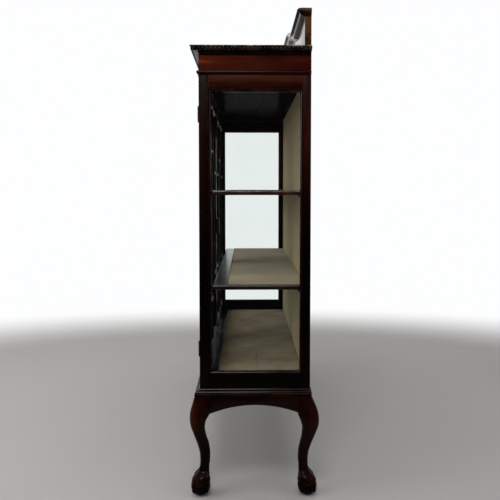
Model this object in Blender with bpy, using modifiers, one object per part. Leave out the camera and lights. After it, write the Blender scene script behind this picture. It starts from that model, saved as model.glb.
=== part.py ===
"""Glazed display cabinet on four cabriole legs, with two doors, a shaped gallery and cloth-lined shelves.

Metres, +Z up. The origin is on the floor under the middle of the cabinet, the doors face -Y.
"""

import math

import bmesh
import bpy
from mathutils import Matrix, Vector

# Clearances
FIT = 0.0003            # between fixed pieces that touch
RUN = 0.0004            # round a piece that slides or turns
DOOR_GAP = 0.0015       # between a door and its post
DOOR_LIFT = 0.002       # under and over a door
MEETING_GAP = 0.002     # between the two doors

# Carcase
CARCASE_LENGTH = 1.200
CARCASE_DEPTH = 0.332
STAND_HEIGHT = 0.303    # floor to the top of legs and aprons
BASE_THICKNESS = 0.022
CASE_HEIGHT = 0.933     # bottom board to frieze
FRIEZE_HEIGHT = 0.061
CORNICE_HEIGHT = 0.007
TOP_THICKNESS = 0.013
POST_WIDTH = 0.028      # along the length
FRONT_POST_DEPTH = 0.028
BACK_POST_DEPTH = 0.024
RAIL_THICKNESS = 0.026
TOP_RAIL_HEIGHT = 0.042
BOTTOM_RAIL_HEIGHT = 0.041
FRIEZE_THICKNESS = 0.020
BEAD_PROUD = 0.006      # small moulding along the foot of the frieze
BEAD_HEIGHT = 0.012
BEAD_EASE = 0.3         # share of the bead eased off at its foot and head
BASE_PROUD = 0.015      # moulded edge of the bottom board, front and ends
BASE_PROUD_BACK = 0.003
BASE_EDGE = 0.006       # plain upright foot of that edge
BASE_TOP_OUT = 0.002    # where its curve meets the carcase
TOP_PROUD = 0.020       # nosing of the top board, front and ends
CORNICE_PROUD = 0.014
PANEL_THICKNESS = 0.008
CLOTH = 0.0012
CEILING_DROP = 0.051    # frieze top down to the underside of the ceiling board
CEILING_THICKNESS = 0.010
END_GLASS_INSET = 0.011  # carcase end to the outside of the end glass
GLASS = 0.003
EDGE = 0.0012           # eased edges of the boards

# Cabriole legs, measured from the corner of the carcase
LEG_TOP_OUT = 0.015
LEG_TOP_IN = 0.031
KNEE_OUT = 0.027
KNEE_DROP = 0.056       # leg top to the widest part of the knee
KNEE_IN = 0.027
CALF_SHARE = 0.80       # ankle to knee, where the inside is hollowest
CALF_OUT = 0.0255
CALF_IN = 0.0143
ANKLE_HEIGHT = 0.112
ANKLE_OUT = 0.0
ANKLE_IN = 0.0285
PAW_OUT = 0.014         # where the leg spreads over the ball
PAW_IN = 0.0245
PAW_SINK = 0.012        # ball top down to the leg's end inside it
BALL_RADIUS = 0.028
BALL_CENTRE_HEIGHT = 0.0265
BALL_OUT = -0.001
CLAW_RADIUS = 0.0062
CLAW_PROUD = 0.001      # middle of a claw outside the ball
CLAW_FROM = 28          # degrees down from the top of the ball
CLAW_SWEEP = 80
CLAW_TAPER = 0.55       # share of its radius lost at the tip
CLAW_STEPS = 6
LEG_SIDES = 20
LEG_RINGS = 16

# Aprons
APRON_THICKNESS = 0.022
APRON_OUT = 0.009       # face beyond the carcase
APRON_END_HEIGHT = 0.056
ARCH_RISE = 0.028
ARCH_STEPS = 16

# Gallery
GALLERY_THICKNESS = 0.020
GALLERY_END_HEIGHT = 0.089
GALLERY_HOUSING = 0.004  # let into the top board
GALLERY_RISE = 0.050
GALLERY_LEVEL = 0.252   # level stretch at each end
GALLERY_OGEE = 0.228    # length of each rise
OGEE_STEPS = 12
CAP_DEPTH = 0.044
CAP_HEIGHT = 0.020

# Shelves
SHELF_THICKNESS = 0.017
SHELF_SETBACK = 0.040   # carcase front to shelf edge
SHELF_STRIP = 0.040     # polished strip in front of the cloth
SHELF_TOPS = {"lower": 0.310, "upper": 0.596}   # above the bottom board
SHELF_END_GAP = 0.0035  # shelf end to the glass
PEG_RADIUS = 0.003
PEG_REACH = 0.030
PEG_ROOT = 0.002

# Doors
DOOR_THICKNESS = 0.020
STILE_WIDTH = 0.040
DOOR_TOP_RAIL = 0.045
DOOR_BOTTOM_RAIL = 0.055
BAR_WIDTH = 0.014
BAR_THICKNESS = 0.010
BAR_SETBACK = 0.002
OCTAGON_WIDTH = 0.250
OCTAGON_HEIGHT = 0.520
OCTAGON_CORNER = 0.070

# Butt hinges
HINGE_HEIGHT = 0.050
HINGE_FROM_END = 0.110  # door end to the middle of the hinge
LEAF_THICKNESS = 0.0012
LEAF_WIDTH = 0.017
LEAF_PLAY = 0.0002      # each side of the middle of the door gap
KNUCKLE_RADIUS = 0.0032
KNUCKLE_MIDDLE = 0.0174
PIN_RADIUS = 0.0016
ROUND_SIDES = 16

# Lock and bolt
LOCK_HEIGHT = 0.455     # above the bottom board, middle of the lock
LOCK_BOX = Vector((0.0370, 0.0120, 0.0600))
LOCK_WALL = 0.002
BOLT_HEIGHT = 0.012
BOLT_THICKNESS = 0.007
BOLT_ABOVE_KEY = 0.018
KEY_RADIUS = 0.0022
KEY_BELOW = 0.008       # middle of the lock down to the key
KEY_STEM_OUT = 0.006    # plate to bow
KEY_BIT_REACH = 0.0075
KEY_BIT_THICKNESS = 0.0022
BOW_RADIUS = 0.0072
BOW_WIRE = 0.0018
PLATE_THICKNESS = 0.0014
PLATE_WIDTH = 0.020
PLATE_HEIGHT = 0.034
FLUSH_BOLT = Vector((0.010, 0.005, 0.080))
FLUSH_BOLT_TRAVEL = 0.010
FLUSH_BOLT_DROP = 0.004  # door top down to the bolt's end
FLUSH_KNOB_RADIUS = 0.0045
FLUSH_KNOB_REACH = 0.006
GUIDE_WALL = 0.002
GUIDE_HEIGHT = 0.022

# Levels and planes that several pieces share
BASE_TOP = STAND_HEIGHT + BASE_THICKNESS
CASE_TOP = BASE_TOP + CASE_HEIGHT
FRIEZE_TOP = CASE_TOP + FRIEZE_HEIGHT
CORNICE_TOP = FRIEZE_TOP + CORNICE_HEIGHT
TOP_TOP = CORNICE_TOP + TOP_THICKNESS
CEILING = FRIEZE_TOP - CEILING_DROP
END = CARCASE_LENGTH / 2
FRONT = -CARCASE_DEPTH / 2
BACK = CARCASE_DEPTH / 2
POST_INSIDE = END - POST_WIDTH
PANEL_FRONT = BACK - PANEL_THICKNESS
LINING_FRONT = PANEL_FRONT - FIT - CLOTH
DOOR_BACK = FRONT + DOOR_THICKNESS
DOOR_BOTTOM = BASE_TOP + DOOR_LIFT
DOOR_TOP = CASE_TOP - DOOR_LIFT
HINGE_X = POST_INSIDE - DOOR_GAP / 2
HINGE_Y = FRONT - KNUCKLE_RADIUS - FIT
LOCK_Z = BASE_TOP + LOCK_HEIGHT

# Colour, roughness and metallic value of each finish
FINISHES = {
    "mahogany": ((0.055, 0.014, 0.006, 1), 0.30, 0.0),
    "dark_mahogany": ((0.018, 0.006, 0.004, 1), 0.30, 0.0),
    "cloth": ((0.19, 0.165, 0.11, 1), 0.95, 0.0),
    "glass": ((0.80, 0.86, 0.84, 1), 0.03, 0.0),
    "brass": ((0.52, 0.34, 0.12, 1), 0.35, 1.0),
    "steel": ((0.30, 0.29, 0.28, 1), 0.40, 1.0),
}


def clear_scene():
    for thing in list(bpy.data.objects):
        bpy.data.objects.remove(thing, do_unlink=True)


def new_collection(name, hidden=False):
    collection = bpy.data.collections.new(name)
    bpy.context.scene.collection.children.link(collection)
    collection.hide_render = hidden
    return collection


clear_scene()
CABINET = new_collection("display_cabinet")
CUTTERS = new_collection("cutters", hidden=True)


def finish_of(name, finish):
    colour, roughness, metallic = FINISHES[finish]
    material = bpy.data.materials.new(f"{name}_{finish}")
    material.use_nodes = True
    shader = material.node_tree.nodes["Principled BSDF"]
    shader.inputs["Base Color"].default_value = colour
    shader.inputs["Roughness"].default_value = roughness
    shader.inputs["Metallic"].default_value = metallic
    return material


def place(name, data, location, finish, parent=None):
    """Puts a mesh or curve in the cabinet; without a finish it is a cutter or a joined shape."""
    piece = bpy.data.objects.new(name, data)
    piece.location = Vector(location)
    if parent:
        piece.parent = parent
        piece.location -= parent.location
    if finish:
        data.materials.append(finish_of(name, finish))
        CABINET.objects.link(piece)
    else:
        piece.hide_render = True
        piece.display_type = "WIRE"
        CUTTERS.objects.link(piece)
    return piece


def mesh_from(shape, name):
    bmesh.ops.recalc_face_normals(shape, faces=shape.faces)
    mesh = bpy.data.meshes.new(name)
    shape.to_mesh(mesh)
    shape.free()
    return mesh


def box(name, low, high, finish=None, parent=None, edge=0.0):
    """A board between two world corners, its long edges eased where an edge radius is given."""
    low = Vector(low)
    size = Vector(high) - low
    shape = bmesh.new()
    bmesh.ops.create_cube(shape, size=1, matrix=Matrix.Diagonal((*size, 1)))
    piece = place(name, mesh_from(shape, name), low + size / 2, finish, parent)
    if edge:
        ease = piece.modifiers.new("eased edges", "BEVEL")
        ease.width = edge
        ease.segments = 1
    return piece


def rod(name, start, axis, length, radius, finish=None, parent=None):
    """A round bar from a world point along an axis, its origin at the start."""
    shape = bmesh.new()
    bmesh.ops.create_cone(
        shape, cap_ends=True, segments=ROUND_SIDES, radius1=radius, radius2=radius, depth=length)
    bmesh.ops.translate(shape, verts=shape.verts, vec=(0, 0, length / 2))
    turn = Vector((0, 0, 1)).rotation_difference(Vector(axis)).to_matrix()
    bmesh.ops.rotate(shape, verts=shape.verts, cent=(0, 0, 0), matrix=turn)
    mesh = mesh_from(shape, name)
    mesh.shade_smooth()
    mesh.set_sharp_from_angle(angle=math.radians(40))
    return place(name, mesh, start, finish, parent)


def combine(piece, other, operation):
    step = piece.modifiers.new(operation.lower(), "BOOLEAN")
    step.operation = operation
    step.solver = "EXACT"
    step.object = other


def outline_board(name, splines, thickness, location, facing, finish, parent=None):
    """A flat outline with any holes, as thick as given, about the middle of its thickness.

    Facing z lies flat, facing y stands along the length, facing x stands along the depth.
    """
    curve = bpy.data.curves.new(name, "CURVE")
    curve.dimensions = "2D"
    curve.fill_mode = "BOTH"
    curve.extrude = thickness / 2
    for points in splines:
        spline = curve.splines.new("POLY")
        spline.points.add(len(points) - 1)
        for target, (across, along) in zip(spline.points, points):
            target.co = (across, along, 0, 1)
        spline.use_cyclic_u = True
    piece = place(name, curve, location, finish, parent)
    quarter = math.pi / 2
    piece.rotation_euler = {"z": (0, 0, 0), "y": (quarter, 0, 0), "x": (quarter, 0, quarter)}[facing]
    return piece


def loft(name, rings, location, finish=None):
    """Skins a stack of rings that have the same number of points, and closes both ends."""
    shape = bmesh.new()
    loops = [[shape.verts.new(point) for point in ring] for ring in rings]
    for lower, upper in zip(loops, loops[1:]):
        for near, far in zip(range(-1, len(lower) - 1), range(len(lower))):
            shape.faces.new((lower[near], lower[far], upper[far], upper[near]))
    shape.faces.new(loops[0])
    shape.faces.new(loops[-1])
    return place(name, mesh_from(shape, name), location, finish)


def tapered_tube(name, points, radii, location):
    """A closed tube along points, as a mesh that can be joined to another."""
    curve = bpy.data.curves.new(name, "CURVE")
    curve.dimensions = "3D"
    curve.bevel_depth = 1.0
    curve.bevel_resolution = 1
    curve.use_fill_caps = True
    spline = curve.splines.new("POLY")
    spline.points.add(len(points) - 1)
    for target, point, radius in zip(spline.points, points, radii):
        target.co = (*point, 1)
        target.radius = radius
    guide = place(name + "_path", curve, location, None)
    bpy.context.view_layer.update()
    evaluated = guide.evaluated_get(bpy.context.evaluated_depsgraph_get())
    shape = bmesh.new()
    shape.from_mesh(bpy.data.meshes.new_from_object(evaluated))
    bmesh.ops.remove_doubles(shape, verts=shape.verts, dist=0.00001)
    tube = place(name, mesh_from(shape, name), location, None)
    bpy.data.objects.remove(guide)
    return tube


def smooth_between(stations, height):
    """Reads the outward and inward sizes at a height, on a smooth curve through the stations."""
    for (high, *above), (low, *below) in zip(stations, stations[1:]):
        if low <= height <= high:
            share = (high - height) / (high - low)
            ease = share * share * (3 - 2 * share)
            return [a + (b - a) * ease for a, b in zip(above, below)]
    return list(stations[-1][1:])


# Stand

def leg_stations():
    """Height, outward and inward reach and squareness of the leg at each change of its curve."""
    knee = STAND_HEIGHT - KNEE_DROP
    calf = ANKLE_HEIGHT + (knee - ANKLE_HEIGHT) * CALF_SHARE
    ball_top = BALL_CENTRE_HEIGHT + BALL_RADIUS
    return [
        (STAND_HEIGHT - FIT, LEG_TOP_OUT, LEG_TOP_IN, 12),
        (knee, KNEE_OUT, KNEE_IN, 5),
        (calf, CALF_OUT, CALF_IN, 3),
        (ANKLE_HEIGHT, ANKLE_OUT, ANKLE_IN, 2.4),
        (ball_top, PAW_OUT, PAW_IN, 2.4),
        (ball_top - PAW_SINK, PAW_OUT, PAW_IN, 2),
    ]


def leg_ring(height, stations, side_x, side_y):
    out, inward, squareness = smooth_between(stations, height)
    middle = (out - inward) / 2
    half = (out + inward) / 2
    ring = []
    for step in range(LEG_SIDES):
        angle = 2 * math.pi * (step + 0.5) / LEG_SIDES
        across = math.copysign(abs(math.cos(angle)) ** (2 / squareness), math.cos(angle))
        along = math.copysign(abs(math.sin(angle)) ** (2 / squareness), math.sin(angle))
        ring.append((side_x * (middle + half * across), side_y * (middle + half * along), height))
    return ring


def make_leg(name, side_x, side_y):
    stations = leg_stations()
    top, bottom = stations[0][0], stations[-1][0]
    heights = [top + (bottom - top) * step / LEG_RINGS for step in range(LEG_RINGS + 1)]
    corner = Vector((side_x * END, side_y * BACK, 0))
    leg = loft(name, [leg_ring(height, stations, side_x, side_y) for height in heights], corner, "mahogany")
    middle = Vector((side_x * BALL_OUT, side_y * BALL_OUT, BALL_CENTRE_HEIGHT))
    shape = bmesh.new()
    bmesh.ops.create_uvsphere(shape, u_segments=20, v_segments=12, radius=BALL_RADIUS)
    for point in shape.verts:
        point.co.z = max(point.co.z, -BALL_CENTRE_HEIGHT)
    bmesh.ops.remove_doubles(shape, verts=shape.verts, dist=0.00001)
    bmesh.ops.dissolve_limit(shape, angle_limit=0.001, verts=shape.verts, edges=shape.edges)
    combine(leg, place(name + "_ball", mesh_from(shape, name + "_ball"), corner + middle, None), "UNION")
    for quarter in range(4):
        heading = math.pi / 4 + quarter * math.pi / 2
        claw = make_claw(f"{name}_claw_{quarter}", heading, corner + middle)
        combine(leg, claw, "UNION")


def make_claw(name, heading, location):
    """One talon from the top of the ball down its side, thickest at the middle knuckle."""
    points, radii = [], []
    reach = BALL_RADIUS + CLAW_PROUD
    for step in range(CLAW_STEPS + 1):
        share = step / CLAW_STEPS
        polar = math.radians(CLAW_FROM + CLAW_SWEEP * share)
        flat = reach * math.sin(polar)
        points.append((flat * math.cos(heading), flat * math.sin(heading), reach * math.cos(polar)))
        radii.append(CLAW_RADIUS * (1 - CLAW_TAPER * share ** 2))
    return tapered_tube(name, points, radii, location)


def arch_outline(half_length):
    """The apron's outline: level above, one shallow arch below."""
    top = STAND_HEIGHT - FIT
    springing = STAND_HEIGHT - APRON_END_HEIGHT
    points = [(-half_length, top), (-half_length, springing)]
    for step in range(1, ARCH_STEPS):
        along = half_length * (2 * step / ARCH_STEPS - 1)
        points.append((along, springing + ARCH_RISE * (1 - (along / half_length) ** 2)))
    return points + [(half_length, springing), (half_length, top)]


def make_stand():
    for end, side_x in (("left", -1), ("right", 1)):
        make_leg(f"leg_front_{end}", side_x, -1)
        make_leg(f"leg_back_{end}", side_x, 1)
    long_half = END - LEG_TOP_IN - FIT
    short_half = BACK - LEG_TOP_IN - FIT
    face = APRON_OUT - APRON_THICKNESS / 2
    for name, side_y in (("front", -1), ("back", 1)):
        spot = (0, side_y * (BACK + face), 0)
        outline_board(f"apron_{name}", [arch_outline(long_half)], APRON_THICKNESS, spot, "y", "mahogany")
    for name, side_x in (("left", -1), ("right", 1)):
        spot = (side_x * (END + face), 0, 0)
        outline_board(f"apron_{name}", [arch_outline(short_half)], APRON_THICKNESS, spot, "x", "mahogany")


# Carcase

def rectangle_ring(out, back_out, height):
    left, right = -END - out, END + out
    front, back = FRONT - out, BACK + back_out
    return [(left, front, height), (right, front, height), (right, back, height), (left, back, height)]


def nosing(low, high, proud, steps=6):
    """Offsets and heights of a half-round edge between two levels."""
    radius = (high - low) / 2
    rows = []
    for step in range(steps + 1):
        angle = math.pi * (step / steps - 0.5)
        rows.append((proud - radius + radius * math.cos(angle), low + radius + radius * math.sin(angle)))
    return rows


def make_bottom_board():
    """The carcase bottom, its edge an ogee that spreads from the posts to an upright foot."""
    steps = 6
    rows = [(BASE_PROUD, STAND_HEIGHT)]
    for step in range(steps + 1):
        share = step / steps
        out = BASE_PROUD + (BASE_TOP_OUT - BASE_PROUD) * (1 - math.cos(math.pi * share)) / 2
        rows.append((out, STAND_HEIGHT + BASE_EDGE + (BASE_THICKNESS - BASE_EDGE) * share))
    rings = [rectangle_ring(out, min(out, BASE_PROUD_BACK), height) for out, height in rows]
    loft("bottom_board", rings, (0, 0, 0), "mahogany")


def make_post(name, side_x, y_low, y_high, top, peg_from, peg_way):
    x_low, x_high = sorted((side_x * POST_INSIDE, side_x * END))
    post = box(name, (x_low, y_low, BASE_TOP + FIT), (x_high, y_high, top - FIT), "dark_mahogany")
    for level, shelf_top in SHELF_TOPS.items():
        height = BASE_TOP + shelf_top - SHELF_THICKNESS - FIT - PEG_RADIUS
        spot = (side_x * (POST_INSIDE + PEG_RADIUS * 1.6), peg_from - peg_way * PEG_ROOT, height)
        peg = rod(f"{name}_peg_{level}", spot, (0, peg_way, 0), PEG_REACH + PEG_ROOT, PEG_RADIUS)
        combine(post, peg, "UNION")
    return post


def make_posts():
    front_face = FRONT + FRONT_POST_DEPTH
    back_face = BACK - BACK_POST_DEPTH
    for end, side_x in (("left", -1), ("right", 1)):
        front_post = make_post(f"front_post_{end}", side_x, FRONT, front_face, CASE_TOP, front_face, 1)
        for level in ("lower", "upper"):
            mortise = leaf_mortise(f"front_post_{end}_mortise_{level}", end, level, to_post=True)
            combine(front_post, mortise, "DIFFERENCE")
        make_post(f"back_post_{end}", side_x, back_face, BACK, FRIEZE_TOP, back_face, -1)


def make_end_frames():
    near = FRONT + FRONT_POST_DEPTH + FIT
    far = BACK - BACK_POST_DEPTH - FIT
    rail_foot = CASE_TOP - TOP_RAIL_HEIGHT
    rail_head = BASE_TOP + BOTTOM_RAIL_HEIGHT
    for end, side_x in (("left", -1), ("right", 1)):
        x_low, x_high = sorted((side_x * (END - RAIL_THICKNESS), side_x * END))
        levels = {"top": (rail_foot, CASE_TOP - FIT), "bottom": (BASE_TOP + FIT, rail_head)}
        for level, (low, high) in levels.items():
            name = f"end_{level}_rail_{end}"
            box(name, (x_low, near, low), (x_high, far, high), "dark_mahogany", edge=EDGE)
        outside = END - END_GLASS_INSET
        x_low, x_high = sorted((side_x * (outside - GLASS), side_x * outside))
        box(f"end_glass_{end}", (x_low, near, rail_head + FIT), (x_high, far, rail_foot - FIT), "glass")


def make_back():
    reach = POST_INSIDE - FIT
    box("back_panel", (-reach, PANEL_FRONT, BASE_TOP + FIT), (reach, BACK, FRIEZE_TOP - FIT), "dark_mahogany")
    foot = BASE_TOP + FIT + CLOTH + FIT
    back = PANEL_FRONT - FIT
    box("back_lining", (-reach, LINING_FRONT, foot), (reach, back, CEILING - FIT), "cloth")


def notched_outline(reach, front, back):
    """A board outline cut round the two back posts."""
    inside = POST_INSIDE - FIT
    shoulder = BACK - BACK_POST_DEPTH - FIT
    right = [(reach, front), (reach, shoulder), (inside, shoulder), (inside, back)]
    return right + [(-across, along) for across, along in reversed(right)]


def make_floor_lining():
    front = FRONT + FRONT_POST_DEPTH + FIT
    outline = notched_outline(END - RAIL_THICKNESS - FIT, front, PANEL_FRONT - FIT)
    spot = (0, 0, BASE_TOP + FIT + CLOTH / 2)
    outline_board("floor_lining", [outline], CLOTH, spot, "z", "cloth")


def mitred_strip(name, rows, side):
    """A moulding with the section of rows (proud, height), mitred at the front corners."""
    stop = BACK - BACK_POST_DEPTH - FIT
    near, far = [], []
    for proud, height in rows:
        out = END + proud
        front = FRONT - proud
        if side == "front":
            near.append((-out + FIT, front, height))
            far.append((out - FIT, front, height))
        else:
            near.append((side * out, front + FIT, height))
            far.append((side * out, stop, height))
    loft(name, [near, far], (0, 0, 0), "mahogany")


def make_frieze():
    foot = CASE_TOP
    head = FRIEZE_TOP - FIT
    bead = BEAD_HEIGHT
    rows = [
        (-FRIEZE_THICKNESS, foot),
        (BEAD_PROUD * (1 - BEAD_EASE), foot),
        (BEAD_PROUD, foot + bead * BEAD_EASE),
        (BEAD_PROUD, foot + bead * (1 - BEAD_EASE)),
        (BEAD_PROUD * (1 - BEAD_EASE), foot + bead),
        (0, foot + bead),
        (0, head),
        (-FRIEZE_THICKNESS, head),
    ]
    for name, side in (("front", "front"), ("left", -1), ("right", 1)):
        mitred_strip(f"frieze_{name}", rows, side)
    outline = notched_outline(END - FRIEZE_THICKNESS - FIT, FRONT + FRIEZE_THICKNESS + FIT, PANEL_FRONT - FIT)
    spot = (0, 0, CEILING + CEILING_THICKNESS / 2)
    outline_board("ceiling_board", [outline], CEILING_THICKNESS, spot, "z", "dark_mahogany")


def cornice_ring(out, height):
    """One level of the hollow moulding that runs round the front and both ends."""
    left, right, front = -END - out, END + out, FRONT - out
    inner = END - FRIEZE_THICKNESS
    inner_front = FRONT + FRIEZE_THICKNESS
    outside = [(left, BACK), (left, front), (right, front), (right, BACK)]
    inside = [(inner, BACK), (inner, inner_front), (-inner, inner_front), (-inner, BACK)]
    return [(across, along, height) for across, along in outside + inside]


def make_top():
    steps = 5
    rings = []
    for step in range(steps + 1):
        angle = math.pi / 2 * step / steps
        out = CORNICE_PROUD * (1 - math.cos(angle))
        rings.append(cornice_ring(out, FRIEZE_TOP + (CORNICE_HEIGHT - FIT) * math.sin(angle)))
    loft("cornice_moulding", rings, (0, 0, 0), "mahogany")
    rows = nosing(CORNICE_TOP, TOP_TOP, TOP_PROUD)
    rings = [rectangle_ring(out, 0, height) for out, height in rows]
    top_board = loft("top_board", rings, (0, 0, 0), "mahogany")
    low = (-END - FIT, BACK - GALLERY_THICKNESS - FIT, TOP_TOP - GALLERY_HOUSING)
    high = (END + FIT, BACK + GALLERY_THICKNESS, TOP_TOP + GALLERY_HOUSING)
    combine(top_board, box("gallery_housing", low, high), "DIFFERENCE")


def gallery_points(lift):
    """The shaped top of the gallery from the right end to the left: level, ogee, raised middle."""
    low = TOP_TOP + GALLERY_END_HEIGHT + lift
    rise_from = END - GALLERY_LEVEL
    right = [(END, low)]
    for step in range(OGEE_STEPS + 1):
        share = step / OGEE_STEPS
        rise = GALLERY_RISE * share * share * (3 - 2 * share)
        right.append((rise_from - GALLERY_OGEE * share, low + rise))
    return right + [(-across, height) for across, height in reversed(right)]


def make_gallery():
    foot_height = TOP_TOP - GALLERY_HOUSING + FIT
    foot = [(-END, foot_height), (END, foot_height)]
    spot = (0, BACK - GALLERY_THICKNESS / 2, 0)
    outline_board("gallery_board", [foot + gallery_points(0)], GALLERY_THICKNESS, spot, "y", "mahogany")
    cap = gallery_points(FIT) + gallery_points(CAP_HEIGHT)[::-1]
    outline_board("gallery_cap", [cap], CAP_DEPTH, (0, BACK - CAP_DEPTH / 2, 0), "y", "mahogany")


def make_shelves():
    reach = END - END_GLASS_INSET - GLASS - SHELF_END_GAP
    front = FRONT + SHELF_SETBACK
    back = LINING_FRONT - FIT
    for level, above in SHELF_TOPS.items():
        top = BASE_TOP + above
        spot = (0, 0, top - SHELF_THICKNESS / 2)
        outline = notched_outline(reach, front, back)
        outline_board(f"shelf_{level}", [outline], SHELF_THICKNESS, spot, "z", "mahogany")
        cloth = notched_outline(reach, front + SHELF_STRIP, back)
        spot = (0, 0, top + FIT + CLOTH / 2)
        outline_board(f"shelf_lining_{level}", [cloth], CLOTH, spot, "z", "cloth")


# Doors

def hinge_height(level):
    return DOOR_BOTTOM + HINGE_FROM_END if level == "lower" else DOOR_TOP - HINGE_FROM_END


def inset(points, distance):
    """Moves every side of a convex outline inwards by a distance."""
    sides = []
    count = len(points)
    for near in range(count):
        start, stop = Vector(points[near]), Vector(points[(near + 1) % count])
        along = (stop - start).normalized()
        sides.append((start + distance * Vector((-along.y, along.x)), along))
    corners = []
    for near in range(count):
        start, along = sides[near - 1]
        other, across = sides[near]
        turn = along.x * across.y - along.y * across.x
        gap = other - start
        corners.append(start + along * ((gap.x * across.y - gap.y * across.x) / turn))
    return [tuple(corner) for corner in corners]


def pane_outlines(half_width, half_height):
    """Nine panes, counter-clockwise: a tall octagon, four beside it and four at the corners."""
    side, tall = OCTAGON_WIDTH / 2, OCTAGON_HEIGHT / 2
    short_side, short_tall = side - OCTAGON_CORNER, tall - OCTAGON_CORNER
    quarter = [(side, short_tall), (short_side, tall)]
    octagon = quarter + [(-x, z) for x, z in quarter[::-1]]
    octagon += [(-x, -z) for x, z in octagon[:4]]
    panes = [octagon]
    corner = quarter[::-1] + [(half_width, short_tall), (half_width, half_height), (short_side, half_height)]
    for flip_x, flip_z in ((1, 1), (-1, 1), (-1, -1), (1, -1)):
        turned = [(flip_x * x, flip_z * z) for x, z in corner]
        panes.append(turned if flip_x * flip_z > 0 else turned[::-1])
    for flip in (1, -1):
        upright = [(side, -short_tall), (half_width, -short_tall)]
        upright += [(half_width, short_tall), (side, short_tall)]
        panes.append([(flip * x, flip * z) for x, z in upright])
        level = [(-short_side, tall), (short_side, tall)]
        level += [(short_side, half_height), (-short_side, half_height)]
        panes.append([(flip * x, flip * z) for x, z in level])
    return panes


def make_door(side, side_x):
    """One framed door with its glazing bars and glass, hung on the pivot at its hinge pins."""
    pivot = bpy.data.objects.new(f"{side}_door_pivot", None)
    pivot.location = (side_x * HINGE_X, HINGE_Y, 0)
    CABINET.objects.link(pivot)
    hung = POST_INSIDE - DOOR_GAP
    free = MEETING_GAP / 2

    def span(near, far):
        return sorted((side_x * near, side_x * far))

    def member(name, across, low, high):
        start = (across[0], FRONT, low)
        stop = (across[1], DOOR_BACK, high)
        return box(f"{side}_door_{name}", start, stop, "dark_mahogany", pivot)

    hinge_stile = member("hinge_stile", span(hung - STILE_WIDTH, hung), DOOR_BOTTOM, DOOR_TOP)
    for level in ("lower", "upper"):
        mortise = leaf_mortise(f"{side}_door_mortise_{level}", side, level, to_post=False)
        combine(hinge_stile, mortise, "DIFFERENCE")
    member("meeting_stile", span(free, free + STILE_WIDTH), DOOR_BOTTOM, DOOR_TOP)
    between = span(free + STILE_WIDTH + FIT, hung - STILE_WIDTH - FIT)
    sight_foot = DOOR_BOTTOM + DOOR_BOTTOM_RAIL
    sight_head = DOOR_TOP - DOOR_TOP_RAIL
    member("top_rail", between, sight_head, DOOR_TOP)
    member("bottom_rail", between, DOOR_BOTTOM, sight_foot)
    half_width = (between[1] - between[0]) / 2
    half_height = (sight_head - sight_foot) / 2 - FIT
    centre_x = (between[0] + between[1]) / 2
    centre_z = (sight_head + sight_foot) / 2
    border = [(-half_width, -half_height), (half_width, -half_height)]
    border += [(-across, -height) for across, height in border]
    panes = [inset(pane, BAR_WIDTH / 2) for pane in pane_outlines(half_width, half_height)]
    bars_front = FRONT + BAR_SETBACK
    spot = (centre_x, bars_front + BAR_THICKNESS / 2, centre_z)
    name = f"{side}_door_glazing_bars"
    outline_board(name, [border] + panes, BAR_THICKNESS, spot, "y", "dark_mahogany", pivot)
    glass_front = bars_front + BAR_THICKNESS + FIT
    start = (between[0], glass_front, centre_z - half_height)
    stop = (between[1], glass_front + GLASS, centre_z + half_height)
    box(f"{side}_door_glass", start, stop, "glass", pivot)
    for level in ("lower", "upper"):
        make_hinge(side, side_x, level, pivot)
    return pivot


# Hinges

def leaf_plate(name, side, level, to_post, grow, finish=None, parent=None):
    """The flat of one hinge leaf in the door gap, or the recess for it where it is grown."""
    side_x = -1 if side == "left" else 1
    way = side_x if to_post else -side_x
    inner = HINGE_X * side_x + way * LEAF_PLAY
    x_low, x_high = sorted((inner - way * grow, inner + way * (LEAF_THICKNESS + grow)))
    middle = hinge_height(level)
    low = middle - HINGE_HEIGHT / 2 - grow
    high = middle + HINGE_HEIGHT / 2 + grow
    front = FRONT - (grow * 3 if grow else 0)
    return box(name, (x_low, front, low), (x_high, FRONT + LEAF_WIDTH + grow, high), finish, parent)


def leaf_mortise(name, side, level, to_post):
    return leaf_plate(name, side, level, to_post, FIT)


def knuckle(leaf, name, side_x, low, high, to_post):
    """Joins one barrel to its leaf with the neck between them."""
    way = side_x if to_post else -side_x
    axis_x = side_x * HINGE_X
    inner = axis_x + way * LEAF_PLAY
    x_low, x_high = sorted((inner, inner + way * LEAF_THICKNESS))
    neck = box(name + "_neck", (x_low, HINGE_Y, low), (x_high, FRONT + LEAF_WIDTH / 4, high))
    combine(leaf, neck, "UNION")
    combine(leaf, rod(name, (axis_x, HINGE_Y, low), (0, 0, 1), high - low, KNUCKLE_RADIUS), "UNION")


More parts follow.
